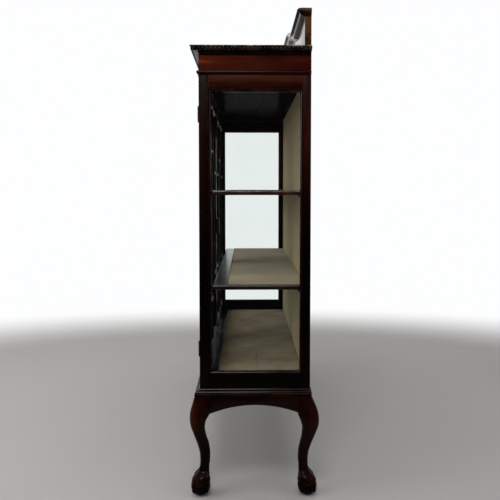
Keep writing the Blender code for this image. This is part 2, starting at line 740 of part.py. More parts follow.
def make_hinge(side, side_x, level, pivot):
    """A butt hinge: the post leaf carries the outer barrels and the pin, the door leaf the middle barrel."""
    middle = hinge_height(level)
    foot, head = middle - HINGE_HEIGHT / 2, middle + HINGE_HEIGHT / 2
    split_low, split_high = middle - KNUCKLE_MIDDLE / 2, middle + KNUCKLE_MIDDLE / 2
    axis_x = side_x * HINGE_X
    post_name = f"hinge_{level}_{side}_post_leaf"
    post_leaf = leaf_plate(post_name, side, level, True, 0, "brass")
    knuckle(post_leaf, post_name + "_low", side_x, foot, split_low - FIT, True)
    knuckle(post_leaf, post_name + "_high", side_x, split_high + FIT, head, True)
    overlap = HINGE_HEIGHT / 8
    start = (axis_x, HINGE_Y, split_low - overlap)
    pin = rod(post_name + "_pin", start, (0, 0, 1), KNUCKLE_MIDDLE + 2 * overlap, PIN_RADIUS)
    combine(post_leaf, pin, "UNION")
    door_name = f"hinge_{level}_{side}_door_leaf"
    door_leaf = leaf_plate(door_name, side, level, False, 0, "brass", pivot)
    knuckle(door_leaf, door_name + "_barrel", side_x, split_low, split_high, False)
    start = (axis_x, HINGE_Y, split_low - FIT)
    bore = rod(door_name + "_bore", start, (0, 0, 1), KNUCKLE_MIDDLE + 2 * FIT, PIN_RADIUS + RUN)
    combine(door_leaf, bore, "DIFFERENCE")


# Lock on the right door, bolt on the left door

def make_lock(pivot):
    """A box lock behind the right meeting stile: the key goes through it, the bolt behind the left door."""
    edge = MEETING_GAP / 2
    low = Vector((edge + FIT, DOOR_BACK + FIT, LOCK_Z - LOCK_BOX.z / 2))
    high = low + LOCK_BOX
    wall = Vector((LOCK_WALL, 0, LOCK_WALL))
    case = box("lock_case", low, high, "brass", pivot)
    mouth = Vector((0, 2 * FIT, 0))
    cavity = box("lock_case_cavity", low + wall - mouth, high - wall - Vector((0, LOCK_WALL, 0)))
    combine(case, cavity, "DIFFERENCE")
    key_x, key_z = edge + STILE_WIDTH / 2, LOCK_Z - KEY_BELOW
    bolt_z = key_z + BOLT_ABOVE_KEY
    bolt_back = high.y - LOCK_WALL - RUN
    start = (low.x + FIT, bolt_back - BOLT_THICKNESS, bolt_z - BOLT_HEIGHT / 2)
    stop = (high.x - LOCK_WALL - RUN, bolt_back, bolt_z + BOLT_HEIGHT / 2)
    box("lock_bolt", start, stop, "steel", pivot)
    room = Vector((RUN, RUN, RUN))
    slot_stop = (low.x + LOCK_WALL + RUN, bolt_back + RUN, stop[2] + RUN)
    slot = box("lock_case_slot", Vector(start) - 3 * room + 2 * Vector((0, RUN, RUN)), slot_stop)
    combine(case, slot, "DIFFERENCE")
    hole_length = DOOR_THICKNESS + 2 * LOCK_WALL
    hole_start = (key_x, FRONT - LOCK_WALL, key_z)
    hole = rod("keyhole", hole_start, (0, 1, 0), hole_length, KEY_RADIUS + RUN)
    combine(bpy.data.objects["right_door_meeting_stile"], hole, "DIFFERENCE")
    half_width, half_height = PLATE_WIDTH / 2, PLATE_HEIGHT / 2
    corners = 16
    oval = []
    hole_ring = []
    for step in range(corners):
        angle = 2 * math.pi * step / corners
        oval.append((half_width * math.cos(angle), half_height * math.sin(angle)))
        radius = KEY_RADIUS + RUN
        hole_ring.append((radius * math.cos(angle), radius * math.sin(angle)))
    spot = (key_x, FRONT - FIT - PLATE_THICKNESS / 2, key_z)
    outline_board("escutcheon", [oval, hole_ring], PLATE_THICKNESS, spot, "y", "brass", pivot)
    make_key(pivot, key_x, key_z, high.y - LOCK_WALL - RUN)


def make_key(pivot, key_x, key_z, tip):
    """A small key: ring bow, round stem and a bit that turns inside the lock."""
    bow_end = FRONT - FIT - PLATE_THICKNESS - KEY_STEM_OUT
    key = rod("key", (key_x, bow_end, key_z), (0, 1, 0), tip - bow_end, KEY_RADIUS, "steel", pivot)
    bit_low = (key_x - KEY_BIT_THICKNESS / 2, DOOR_BACK + 2 * FIT, key_z - KEY_BIT_REACH)
    bit_high = (key_x + KEY_BIT_THICKNESS / 2, tip - RUN, key_z)
    combine(key, box("key_bit", bit_low, bit_high), "UNION")
    bpy.ops.mesh.primitive_torus_add(
        major_radius=BOW_RADIUS, minor_radius=BOW_WIRE, major_segments=20, minor_segments=8,
        location=(key_x, bow_end - BOW_RADIUS + BOW_WIRE / 2, key_z), rotation=(0, math.pi / 2, 0))
    bow = bpy.context.object
    bow.name = "key_bow"
    bow.hide_render = True
    bow.display_type = "WIRE"
    for holder in list(bow.users_collection):
        holder.objects.unlink(bow)
    CUTTERS.objects.link(bow)
    combine(key, bow, "UNION")


def make_flush_bolt(pivot):
    """A sliding bolt in its guide, inside the top of the left meeting stile: it rises behind the frieze."""
    middle = -(MEETING_GAP / 2 + STILE_WIDTH / 2)
    near = DOOR_BACK + FIT
    head = DOOR_TOP - FLUSH_BOLT_DROP
    foot = head - FLUSH_BOLT.z
    low = (middle - FLUSH_BOLT.x / 2, near, foot)
    high = (middle + FLUSH_BOLT.x / 2, near + FLUSH_BOLT.y, head)
    bolt = box("flush_bolt", low, high, "brass", pivot)
    knob_from = (middle, near + FLUSH_BOLT.y / 2, foot + 2 * FLUSH_KNOB_RADIUS)
    knob_length = FLUSH_BOLT.y / 2 + FLUSH_KNOB_REACH
    knob = rod("flush_bolt_knob", knob_from, (0, 1, 0), knob_length, FLUSH_KNOB_RADIUS)
    combine(bolt, knob, "UNION")
    guide_low = head - FLUSH_BOLT_TRAVEL - GUIDE_HEIGHT
    wall = Vector((GUIDE_WALL + RUN, 0, 0))
    guide_start = Vector((low[0], near, guide_low)) - wall
    guide_stop = Vector((high[0], high[1] + RUN + GUIDE_WALL, guide_low + GUIDE_HEIGHT)) + wall
    guide = box("bolt_guide", guide_start, guide_stop, "brass", pivot)
    room_low = (low[0] - RUN, near - 2 * FIT, guide_low - GUIDE_WALL)
    room_high = (high[0] + RUN, high[1] + RUN, guide_low + GUIDE_HEIGHT + GUIDE_WALL)
    combine(guide, box("bolt_guide_room", room_low, room_high), "DIFFERENCE")


def make_cabinet():
    make_stand()
    make_bottom_board()
    make_floor_lining()
    make_posts()
    make_end_frames()
    make_back()
    make_frieze()
    make_top()
    make_gallery()
    make_shelves()
    left_pivot = make_door("left", -1)
    right_pivot = make_door("right", 1)
    make_flush_bolt(left_pivot)
    make_lock(right_pivot)


make_cabinet()
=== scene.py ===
import math

import bmesh
import bpy
from mathutils import Matrix, Vector


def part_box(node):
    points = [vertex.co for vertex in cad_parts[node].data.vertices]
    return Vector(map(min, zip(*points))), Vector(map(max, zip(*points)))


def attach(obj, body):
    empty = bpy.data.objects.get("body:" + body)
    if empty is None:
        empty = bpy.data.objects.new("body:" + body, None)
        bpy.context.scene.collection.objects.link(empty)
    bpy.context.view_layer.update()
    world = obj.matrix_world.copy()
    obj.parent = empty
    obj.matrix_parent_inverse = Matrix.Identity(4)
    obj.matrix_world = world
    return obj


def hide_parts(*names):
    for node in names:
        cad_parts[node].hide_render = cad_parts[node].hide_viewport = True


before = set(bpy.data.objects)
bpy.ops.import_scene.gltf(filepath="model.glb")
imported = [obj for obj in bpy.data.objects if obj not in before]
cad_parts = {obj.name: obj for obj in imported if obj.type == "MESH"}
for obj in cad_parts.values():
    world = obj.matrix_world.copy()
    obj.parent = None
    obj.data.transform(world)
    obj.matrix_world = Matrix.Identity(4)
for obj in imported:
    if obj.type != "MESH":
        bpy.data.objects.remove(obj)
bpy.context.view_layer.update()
scene = bpy.context.scene
scene.view_settings.view_transform = "Standard"

fit = 0.0003  # hairline left between pieces that touch
sameSpot = 0.000002  # points nearer to each other than this are one
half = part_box("front_post_right")[1].x  # middle of the cabinet to the end of its carcase
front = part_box("front_post_right")[0].y
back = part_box("back_post_right")[1].y


# shader maths: one wire is one socket, and sums and products of wires add Math nodes

class Wire:
    def __init__(self, tree, socket=None):
        self.tree = tree
        self.socket = socket

    def node(self, kind, settings=None, sockets=None, out=0):
        made = self.tree.nodes.new(kind)
        for key, value in (settings or {}).items():
            if key == "stops":
                self.fillRamp(made.color_ramp, value)
            else:
                setattr(made, key, value)
        for key, value in (sockets or {}).items():
            if isinstance(value, Wire):
                self.tree.links.new(value.socket, made.inputs[key])
            else:
                made.inputs[key].default_value = value
        return Wire(self.tree, made.outputs[out] if made.outputs else None)

    def fillRamp(self, ramp, stops):
        while len(ramp.elements) < len(stops):
            ramp.elements.new(1)
        for element, (place, colour) in zip(ramp.elements, stops):
            element.position = place
            element.color = (*colour, 1)

    def also(self, name):  # another output of the node that this wire leaves
        return Wire(self.tree, self.socket.node.outputs[name])

    def maths(self, kind, first, second):
        return self.node("ShaderNodeMath", {"operation": kind}, {0: first, 1: second})

    def __add__(self, other):
        return self.maths("ADD", self, other)

    def __sub__(self, other):
        return self.maths("SUBTRACT", self, other)

    def __rsub__(self, other):
        return self.maths("SUBTRACT", other, self)

    def __mul__(self, other):
        return self.maths("MULTIPLY", self, other)

    __radd__ = __add__
    __rmul__ = __mul__

    def sine(self):
        return self.maths("SINE", self, 0)

    def size(self):  # without its sign
        return self.maths("ABSOLUTE", self, 0)

    def largest(self, other):
        return self.maths("MAXIMUM", self, other)

    def eased(self, low, high, toLow=0.0, toHigh=1.0):
        sockets = {"Value": self, "From Min": low, "From Max": high, "To Min": toLow, "To Max": toHigh}
        return self.node("ShaderNodeMapRange", {"interpolation_type": "SMOOTHSTEP"}, sockets)

    def mixed(self, first, second):  # colours, by this wire
        sockets = {0: self, 6: first, 7: second}
        return self.node("ShaderNodeMix", {"data_type": "RGBA"}, sockets, 2)

    def stretched(self, amounts):  # a vector, each way by its own amount
        return self.node("ShaderNodeVectorMath", {"operation": "MULTIPLY"}, {0: self, 1: amounts})

    def noise(self, scale, detail=3.0, rough=0.5, twist=0.0):
        sockets = {"Vector": self, "Scale": scale, "Detail": detail, "Roughness": rough, "Distortion": twist}
        return self.node("ShaderNodeTexNoise", {}, sockets)


def newFinish(name):
    finish = bpy.data.materials.new(name)
    finish.use_nodes = True
    finish.node_tree.nodes.clear()
    return finish, Wire(finish.node_tree)


def closeFinish(wire, shader):
    wire.node("ShaderNodeOutputMaterial", {}, {"Surface": shader})


def bumped(wire, height, distance):
    return wire.node("ShaderNodeBump", {}, {"Height": height, "Distance": distance})


# camera, floor and light

shot = {
    "place": (2.335, -0.0256, 0.912),
    "down": 2.58,  # degrees below level
    "toBack": 0.9,  # degrees turned towards the back
    "lens": 42.1,
    "shift": (-0.0111, -0.0624),
}


def setCamera():
    data = bpy.data.cameras.new("photoCamera")
    data.lens = shot["lens"]
    data.shift_x, data.shift_y = shot["shift"]
    camera = bpy.data.objects.new("photoCamera", data)
    down, aside = math.radians(shot["down"]), math.radians(shot["toBack"])
    look = Vector((-math.cos(down) * math.cos(aside), math.cos(down) * math.sin(aside), -math.sin(down)))
    camera.location = shot["place"]
    camera.rotation_euler = look.to_track_quat("-Z", "Y").to_euler()
    scene.collection.objects.link(camera)
    scene.camera = camera


studio = {
    "floorColour": (0.275, 0.264, 0.250),
    "floorPatch": 0.96,  # darker patches, as a share of that colour
    "floorMiddle": (0.3, 0, 0),
    "floorShape": (1, 0.6, 1),  # the floor reaches further to the front and back
    "floorFull": 1.05,  # metres out to where the floor starts to fade
    "floorGone": 2.0,
    "white": (0.985, 0.99, 1.0),
    "fill": 0.58,
    "low": 0.015,  # level that polish shows on the dark side, low down
    "high": 0.35,  # and high up
    "rise": (0.25, 0.60),  # between these two heights
    "far": 0.9,  # level that it shows beyond the far end
    "farSide": (-0.75, -0.2),
    "aim": (0, 0, 0.8),
    "lamps": (  # place, size, watts
        ((0.7, -2.6, 2.1), 2.6, 64),
        ((2.3, -0.3, 3.0), 0.9, 42),
        ((1.6, 2.4, 1.7), 1.4, 7),
        ((0.0, 0.0, 3.6), 2.4, 50),
    ),
}


def floorFinish():
    finish, wire = newFinish("paleFloor")
    place = wire.node("ShaderNodeTexCoord", {}, {}, "Object")
    moved = wire.node("ShaderNodeMapping", {}, {
        0: place, "Location": studio["floorMiddle"], "Scale": studio["floorShape"]})
    far = wire.node("ShaderNodeVectorMath", {"operation": "LENGTH"}, {0: moved}, 1)
    patch = place.noise(3.0, 4.0)
    pale = studio["floorColour"]
    darker = [studio["floorPatch"] * part for part in pale]
    tone = patch.eased(0.35, 0.65).mixed((*darker, 1), (*pale, 1))
    rough = patch.eased(0.3, 0.7, 0.55, 0.68)
    shader = wire.node("ShaderNodeBsdfPrincipled", {}, {"Base Color": tone, "Roughness": rough})
    clear = wire.node("ShaderNodeBsdfTransparent")
    fade = far.eased(studio["floorFull"], studio["floorGone"])
    closeFinish(wire, wire.node("ShaderNodeMixShader", {}, {0: fade, 1: shader, 2: clear}))
    return finish


def setFloor():
    reach = studio["floorGone"] * 2
    corners = [(-reach, -reach, 0), (reach, -reach, 0), (reach, reach, 0), (-reach, reach, 0)]
    mesh = bpy.data.meshes.new("floor")
    mesh.from_pydata(corners, [], [(0, 1, 2, 3)])
    mesh.materials.append(floorFinish())
    floor = bpy.data.objects.new("floor", mesh)
    scene.collection.objects.link(floor)


def setWorld():
    world = bpy.data.worlds.new("studio")
    world.use_nodes = True
    world.node_tree.nodes.clear()
    wire = Wire(world.node_tree)
    path = wire.node("ShaderNodeLightPath")
    seen = path.also("Is Camera Ray").largest(path.also("Is Transmission Ray"))
    way = wire.node("ShaderNodeTexCoord", {}, {}, "Generated")
    split = wire.node("ShaderNodeSeparateXYZ", {}, {0: way})
    upward = split.also("Z").eased(*studio["rise"], studio["low"], studio["high"])
    nearer = split.also("X").eased(*studio["farSide"])
    shown = nearer * upward + (1 - nearer) * studio["far"]
    glossy = path.also("Is Glossy Ray")
    lit = glossy * shown + (1 - glossy) * studio["fill"]
    level = seen + (1 - seen) * lit
    sky = wire.node("ShaderNodeBackground", {}, {"Color": (*studio["white"], 1), "Strength": level})
    wire.node("ShaderNodeOutputWorld", {}, {"Surface": sky})
    scene.world = world


def setLamps():
    for number, (place, size, watts) in enumerate(studio["lamps"]):
        data = bpy.data.lights.new(f"lamp{number}", "AREA")
        data.size = size
        data.energy = watts
        lamp = bpy.data.objects.new(f"lamp{number}", data)
        lamp.location = place
        aim = Vector(studio["aim"]) - Vector(place)
        lamp.rotation_euler = aim.to_track_quat("-Z", "Y").to_euler()
        scene.collection.objects.link(lamp)


setCamera()
setFloor()
setWorld()
setLamps()
print("camera, floor and light are set")


# finishes

grainTurn = {"x": (0, 0, 0), "y": (0, 0, -math.pi / 2), "z": (0, math.pi / 2, 0)}
woods = {  # dark, middle and light tone, then worn edge
    "red": ((0.006, 0.0008, 0.0004), (0.024, 0.0032, 0.001), (0.060, 0.0105, 0.0026), (0.11, 0.038, 0.016)),
    "gold": ((0.020, 0.0026, 0.0008), (0.066, 0.0095, 0.0022), (0.135, 0.028, 0.0058), (0.17, 0.065, 0.026)),
    "leg": ((0.0035, 0.0006, 0.0003), (0.0135, 0.0024, 0.0008), (0.036, 0.0075, 0.0022), (0.09, 0.03, 0.012)),
    "dark": ((0.0022, 0.0005, 0.0003), (0.0085, 0.0018, 0.001), (0.02, 0.0045, 0.0022), (0.05, 0.02, 0.011)),
    "wine": ((0.003, 0.0005, 0.0003), (0.012, 0.0019, 0.0011), (0.028, 0.0048, 0.0022), (0.055, 0.02, 0.011)),
    # pale ceiling tones: painted light from the end glass near the right end
    "ceilingLit": ((0.030, 0.028, 0.025), (0.058, 0.055, 0.050), (0.090, 0.085, 0.077), (0.12, 0.11, 0.10)),
    "brown": ((0.0095, 0.0028, 0.001), (0.033, 0.0108, 0.0036), (0.070, 0.026, 0.009), (0.13, 0.06, 0.03)),
    # the shelf's worn edge tone is pale: a painted highlight on its rounded nosing, with the wear
    "shelf": ((0.009, 0.0014, 0.0008), (0.032, 0.0052, 0.0024), (0.066, 0.014, 0.0065), (0.15, 0.105, 0.074)),
    "rail": ((0.0045, 0.0008, 0.0004), (0.0165, 0.003, 0.0012), (0.04, 0.0085, 0.003), (0.06, 0.022, 0.012)),
    "carved": ((0.0026, 0.0012, 0.0008), (0.0085, 0.005, 0.0034), (0.02, 0.013, 0.009), (0.06, 0.04, 0.028)),
    "top": ((0.009, 0.0018, 0.001), (0.018, 0.0036, 0.0018), (0.031, 0.0068, 0.0034), (0.20, 0.166, 0.132)),
    "back": ((0.05, 0.0235, 0.0113), (0.064, 0.031, 0.015), (0.079, 0.04, 0.0198), (0.12, 0.07, 0.038)),
}
woodLook = {  # detail per metre is along the grain, then across it both ways
    "plankShift": (0.6, 0.8),  # y and z shift of a board's grain, as shares of its x shift
    "slow": (1.3, 5.5, 5.5),
    "bends": (2.2, 20.0, 20.0),
    "streaks": (9.0, 260.0, 260.0),
    "pores": (26.0, 620.0, 620.0),
    "bands": (62, 41),
    "figure": 9.0,  # how far slow waves and bends carry the bands
    "wander": 3.5,
    "shares": (0.30, 0.34, 0.36),  # of bands, bends and streaks in the tone
    "stops": (0.39, 0.50, 0.62),  # dark, middle and light
    "cloud": (0.34, 0.62, 0.0, 0.35),  # from and to a level of noise, then the value at each
    "poreSpan": (0.56, 0.72),
    "scuffSpan": (0.42, 0.66),
    "haze": (0.35, 0.75, -0.04, 0.10),
    "poreShare": 0.62,
    "poreDepth": 0.00006,
    "poreRough": 0.10,
    "streakDepth": 0.25,  # as a share of the pores' depth
    "shadeDull": 0.7,
    "wear": 0.7,
    "lowShadeSpan": (0.70, 1.20),  # painted shade: the wood darkens towards the floor
    # colour of the painted shade, towards the floor and in corners
    "shadeColour": (0.0009, 0.0004, 0.0003),
}
fades = {  # from and to along the grain, share at each of them, colour
    "none": (0.0, 1.0, 0.0, 0.0, (0.01, 0.01, 0.01)),
    "shadedToBack": (0.0, 0.27, 0.0, 0.8, (0.0160, 0.0011, 0.0008)),  # end frieze: painted shade towards the back, darker and with less coat
    "shaded": (0.40, 0.52, 0.96, 0.0, (0.0030, 0.0034, 0.0046)),  # ceiling: painted shade away from the right end, where the pale tones paint the light from the end glass
}


# the low shade paints shade that darkens the wood towards the floor over span, and dull is how much of the
# coat it takes
def woodFinish(name, tones, grain, shift, shine, coat=0.3, specular=0.08, lowShade=0.0, blur=0.08,
               fade="none", span=woodLook["lowShadeSpan"], dull=0.85):
    finish, wire = newFinish(name)
    look = woodLook
    dark, middle, light, worn = woods[tones]
    place = wire.node("ShaderNodeTexCoord", {}, {}, "Object")
    plank = wire.node("ShaderNodeAttribute", {"attribute_name": "plank"}, {}, "Fac")  # one value per board
    shiftY, shiftZ = look["plankShift"]
    offset = wire.node("ShaderNodeCombineXYZ", {}, {0: plank, 1: plank * shiftY, 2: plank * shiftZ})
    parted = wire.node("ShaderNodeVectorMath", {"operation": "ADD"}, {0: place, 1: offset})
    turned = wire.node("ShaderNodeMapping", {}, {0: parted, "Rotation": grainTurn[grain], "Location": shift})
    slow = turned.stretched(look["slow"]).noise(1.0, 3.0, 0.55)
    bent = turned.stretched(look["bends"]).noise(1.0, 4.0, 0.6, 0.8)
    split = wire.node("ShaderNodeSeparateXYZ", {}, {0: turned})
    across = split.also("Y") * look["bands"][0] + split.also("Z") * look["bands"][1]
    bands = (across + slow * look["figure"] + bent * look["wander"]).sine() * 0.5 + 0.5
    streaks = turned.stretched(look["streaks"]).noise(1.0, 3.0, 0.6)
    pores = turned.stretched(look["pores"]).noise(1.0, 2.0, 0.6).eased(*look["poreSpan"])
    bandShare, bendShare, streakShare = look["shares"]
    tone = bands * bandShare + bent * bendShare + streaks * streakShare
    stops = tuple(zip(look["stops"], (dark, middle, light)))
    ramp = wire.node("ShaderNodeValToRGB", {"stops": stops}, {0: tone})
    cloud = slow.eased(*look["cloud"])
    shaded = cloud.mixed(ramp, (*middle, 1))
    pored = (pores * look["poreShare"]).mixed(shaded, (*dark, 1))
    rub = wire.node("ShaderNodeAttribute", {"attribute_name": "rub"}, {}, "Fac")
    scuff = turned.noise(38.0, 4.0, 0.7).eased(*look["scuffSpan"])
    # worn edges; on the shelves the pale worn tone is a painted highlight
    edgeWearAndSheen = (rub.largest(0) * scuff * look["wear"]).mixed(pored, (*worn, 1))
    # painted shade where the face attribute is below 0: darker colour and less coat
    paintedShade = (rub * -1).largest(0)
    withPaintedShade = paintedShade.mixed(edgeWearAndSheen, (*look["shadeColour"], 1))
    height = wire.node("ShaderNodeSeparateXYZ", {}, {0: place}).also("Z")
    # painted shade: darker and duller towards the floor
    lowShaded = height.eased(*span, lowShade, 0.0)
    # painted shade along the grain where a fade is given: darker and with less coat
    fadeFrom, fadeTo, shareFrom, shareTo, fadeColour = fades[fade]
    deeper = split.also("X").eased(fadeFrom, fadeTo, shareFrom, shareTo)
    faded = deeper.mixed(withPaintedShade, (*fadeColour, 1))
    gloss = coat * (1 - lowShaded * dull) * (1 - deeper) * (1 - paintedShade * look["shadeDull"])
    colour = lowShaded.mixed(faded, (*look["shadeColour"], 1))
    haze = turned.noise(11.0, 4.0, 0.65)
    rough = shine + haze.eased(*look["haze"]) + pores * look["poreRough"]
    shader = wire.node("ShaderNodeBsdfPrincipled", {}, {
        "Base Color": colour,
        "Roughness": rough,
        "Specular IOR Level": specular,
        "Coat Weight": gloss,
        "Coat Roughness": blur,
        "Normal": bumped(wire, pores * -1.0 + streaks * look["streakDepth"], look["poreDepth"]),
    })
    closeFinish(wire, shader)
    return finish


clothLook = {  # lengths in metres
    "thread": 0.0014,  # from one thread to the next
    "pale": (0.415, 0.322, 0.170),
    "deep": (0.275, 0.204, 0.101),
    "dust": (0.395, 0.325, 0.195),
    "stain": (0.150, 0.088, 0.026),
    "edge": (0.030, 0.020, 0.012),
    "crease": 0.55,  # painted shade in the folds, as a share of the deep colour
    "edgeWide": 0.007,  # painted shadow line of the glued hem, with edge dirt
    "edgeCore": 0.0042,
    "seamHalf": 0.0022,
    "seamCore": 0.0006,
    "seamWander": 0.006,
    "seamFrom": -0.05,  # the seam shows from here to the right end
    "seamFull": 0.25,
    "border": (0.5695, 0.5735),  # painted shadow line at the ends of the shelf cloth
    "shares": (0.35, 0.35, 0.30),  # of threads, slubs and nap in the tone
    "slubs": (900.0, 60.0, 1.0),  # detail per metre along the cloth, then across it
    "blotches": (9.0, 8.0, 1.0),
    "creases": (30.0, 6.0, 1.0),
    "toneSpan": (0.25, 0.75),  # from and to a level of noise, then the value at each
    "dustSpan": (0.45, 0.75, 0.0, 0.45),
    "stainSpan": (0.36, 0.64),
    "creaseSpan": (0.34, 0.62),
    "roughSpan": (0.3, 0.7, 0.82, 0.95),
    "stainLeast": 0.4,  # as a share of the full stain
    "seamShare": 0.55,
    "edgeShare": 0.9,
    "borderShare": 0.85,
    "specular": 0.2,
    "sheen": (0.25, 0.5),  # weight, roughness
    "weaveDepth": 0.00025,
    "napDepth": 0.4,  # as a share of the weave's depth
}


def clothFinish(name, seam=-1.0, foldShade=0.34, stain=0.0):
    finish, wire = newFinish(name)
    look = clothLook
    edge = (*look["edge"], 1)
    place = wire.node("ShaderNodeUVMap", {"uv_map": "weave"})
    split = wire.node("ShaderNodeSeparateXYZ", {}, {0: place})
    along, across = split.also("X"), split.also("Y")
    turn = 2 * math.pi / look["thread"]
    warp = (along * turn).sine()
    weft = (across * turn).sine()
    over = (warp * weft).eased(-0.5, 0.5)
    threads = (over * warp + (1 - over) * weft) * 0.5 + 0.5
    slub = place.stretched(look["slubs"]).noise(1.0, 2.0)
    worn = place.noise(7.0, 5.0, 0.6)
    nap = place.noise(420.0, 2.0)
    threadShare, slubShare, napShare = look["shares"]
    tone = threads * threadShare + slub * slubShare + nap * napShare
    base = tone.eased(*look["toneSpan"]).mixed((*look["deep"], 1), (*look["pale"], 1))
    faded = worn.eased(*look["dustSpan"]).mixed(base, (*look["dust"], 1))
    blotch = place.stretched(look["blotches"]).noise(1.0, 6.0, 0.66, 0.1)
    patchy = blotch.eased(*look["stainSpan"], stain, stain * look["stainLeast"])
    stained = patchy.mixed(faded, (*look["stain"], 1))
    # painted shadow line along the glued hem, with edge dirt
    edged = across.eased(look["edgeCore"], look["edgeWide"], look["edgeShare"], 0.0).mixed(stained, edge)
    wander = look["seamWander"]
    joint = (across + place.noise(14.0, 2.0) * wander - (seam + wander / 2)).size()
    nearHalf = along.eased(look["seamFrom"], look["seamFull"])
    shown = joint.eased(look["seamCore"], look["seamHalf"], look["seamShare"], 0.0) * nearHalf
    seamed = shown.mixed(edged, edge)
    # painted shade in the folds of the cloth
    folds = place.stretched(look["creases"]).noise(1.0, 5.0, 0.62, 1.0)
    crease = folds.eased(*look["creaseSpan"], foldShade, 0.0)
    creaseColour = [look["crease"] * part for part in look["deep"]]
    creased = crease.mixed(seamed, (*creaseColour, 1))
    # painted shadow line at the ends of the shelf cloth
    border = along.size().eased(*look["border"], 0.0, look["borderShare"])
    sheen, sheenRough = look["sheen"]
    shader = wire.node("ShaderNodeBsdfPrincipled", {}, {
        "Base Color": border.mixed(creased, edge),
        "Roughness": worn.eased(*look["roughSpan"]),
        "Specular IOR Level": look["specular"],
        "Sheen Weight": sheen,
        "Sheen Roughness": sheenRough,
        "Normal": bumped(wire, threads + nap * look["napDepth"], look["weaveDepth"]),
    })
    closeFinish(wire, shader)
    return finish


glassLook = {
    "tint": (0.975, 0.992, 0.986),
    "bend": 1.45,
    "rough": 0.02,
    "smear": 0.018,
    "rippleDepth": 0.0006,
}


def glassFinish():
    finish, wire = newFinish("windowGlass")
    look = glassLook
    place = wire.node("ShaderNodeTexCoord", {}, {}, "Object")
    smear = place.stretched((3.0, 3.0, 1.2)).noise(4.0, 5.0, 0.6).eased(0.45, 0.8, 0.0, look["smear"])
    normal = bumped(wire, place.noise(5.0, 1.0), look["rippleDepth"])
    mirror = wire.node("ShaderNodeFresnel", {}, {"IOR": look["bend"], "Normal": normal})
    clear = wire.node("ShaderNodeBsdfTransparent", {}, {"Color": (*look["tint"], 1)})
    shine = wire.node("ShaderNodeBsdfGlossy", {}, {
        "Color": (1, 1, 1, 1), "Roughness": look["rough"], "Normal": normal})
    both = wire.maths("DIVIDE", mirror * 2, mirror + 1)  # two faces, each sending light back
    entering = 1 - wire.node("ShaderNodeNewGeometry", {}, {}, "Backfacing")
    share = (both + smear) * entering
    closeFinish(wire, wire.node("ShaderNodeMixShader", {}, {0: share, 1: clear, 2: shine}))
    return finish


metalLook = {
    "patches": 70.0,  # per metre
    "spots": 420.0,
    "lines": (900.0, 900.0, 60.0),
    "spotShare": 0.3,
    "stainSpan": (0.40, 0.62),
    "stainMetal": 0.8,  # how metallic a stain still is
    "stainRough": 0.22,
    "lineRough": 0.08,
    "depth": 0.00006,
}
metals = {  # bright, tarnished, roughness
    "brass": ((0.30, 0.19, 0.075), (0.065, 0.038, 0.018), 0.30),
    "bronze": ((0.050, 0.032, 0.015), (0.012, 0.008, 0.005), 0.40),
    "steel": ((0.36, 0.35, 0.34), (0.12, 0.105, 0.09), 0.36),
}


def metalFinish(name):
    finish, wire = newFinish("aged" + name.capitalize())
    bright, tarnished, rough = metals[name]
    place = wire.node("ShaderNodeTexCoord", {}, {}, "Object")
    look = metalLook
    patch = place.noise(look["patches"], 6.0, 0.65)
    spot = place.noise(look["spots"], 3.0, 0.6)
    stain = (patch * (1 - look["spotShare"]) + spot * look["spotShare"]).eased(*look["stainSpan"])
    lines = place.stretched(look["lines"]).noise(1.0, 2.0)
    colour = stain.mixed((*bright, 1), (*tarnished, 1))
    shader = wire.node("ShaderNodeBsdfPrincipled", {}, {
        "Base Color": colour,
        "Metallic": stain.eased(0.0, 1.0, 1.0, look["stainMetal"]),
        "Roughness": rough + stain * look["stainRough"] + lines * look["lineRough"],
        "Normal": bumped(wire, spot * 0.6 + lines * 0.4, look["depth"]),
    })
    closeFinish(wire, shader)
    return finish


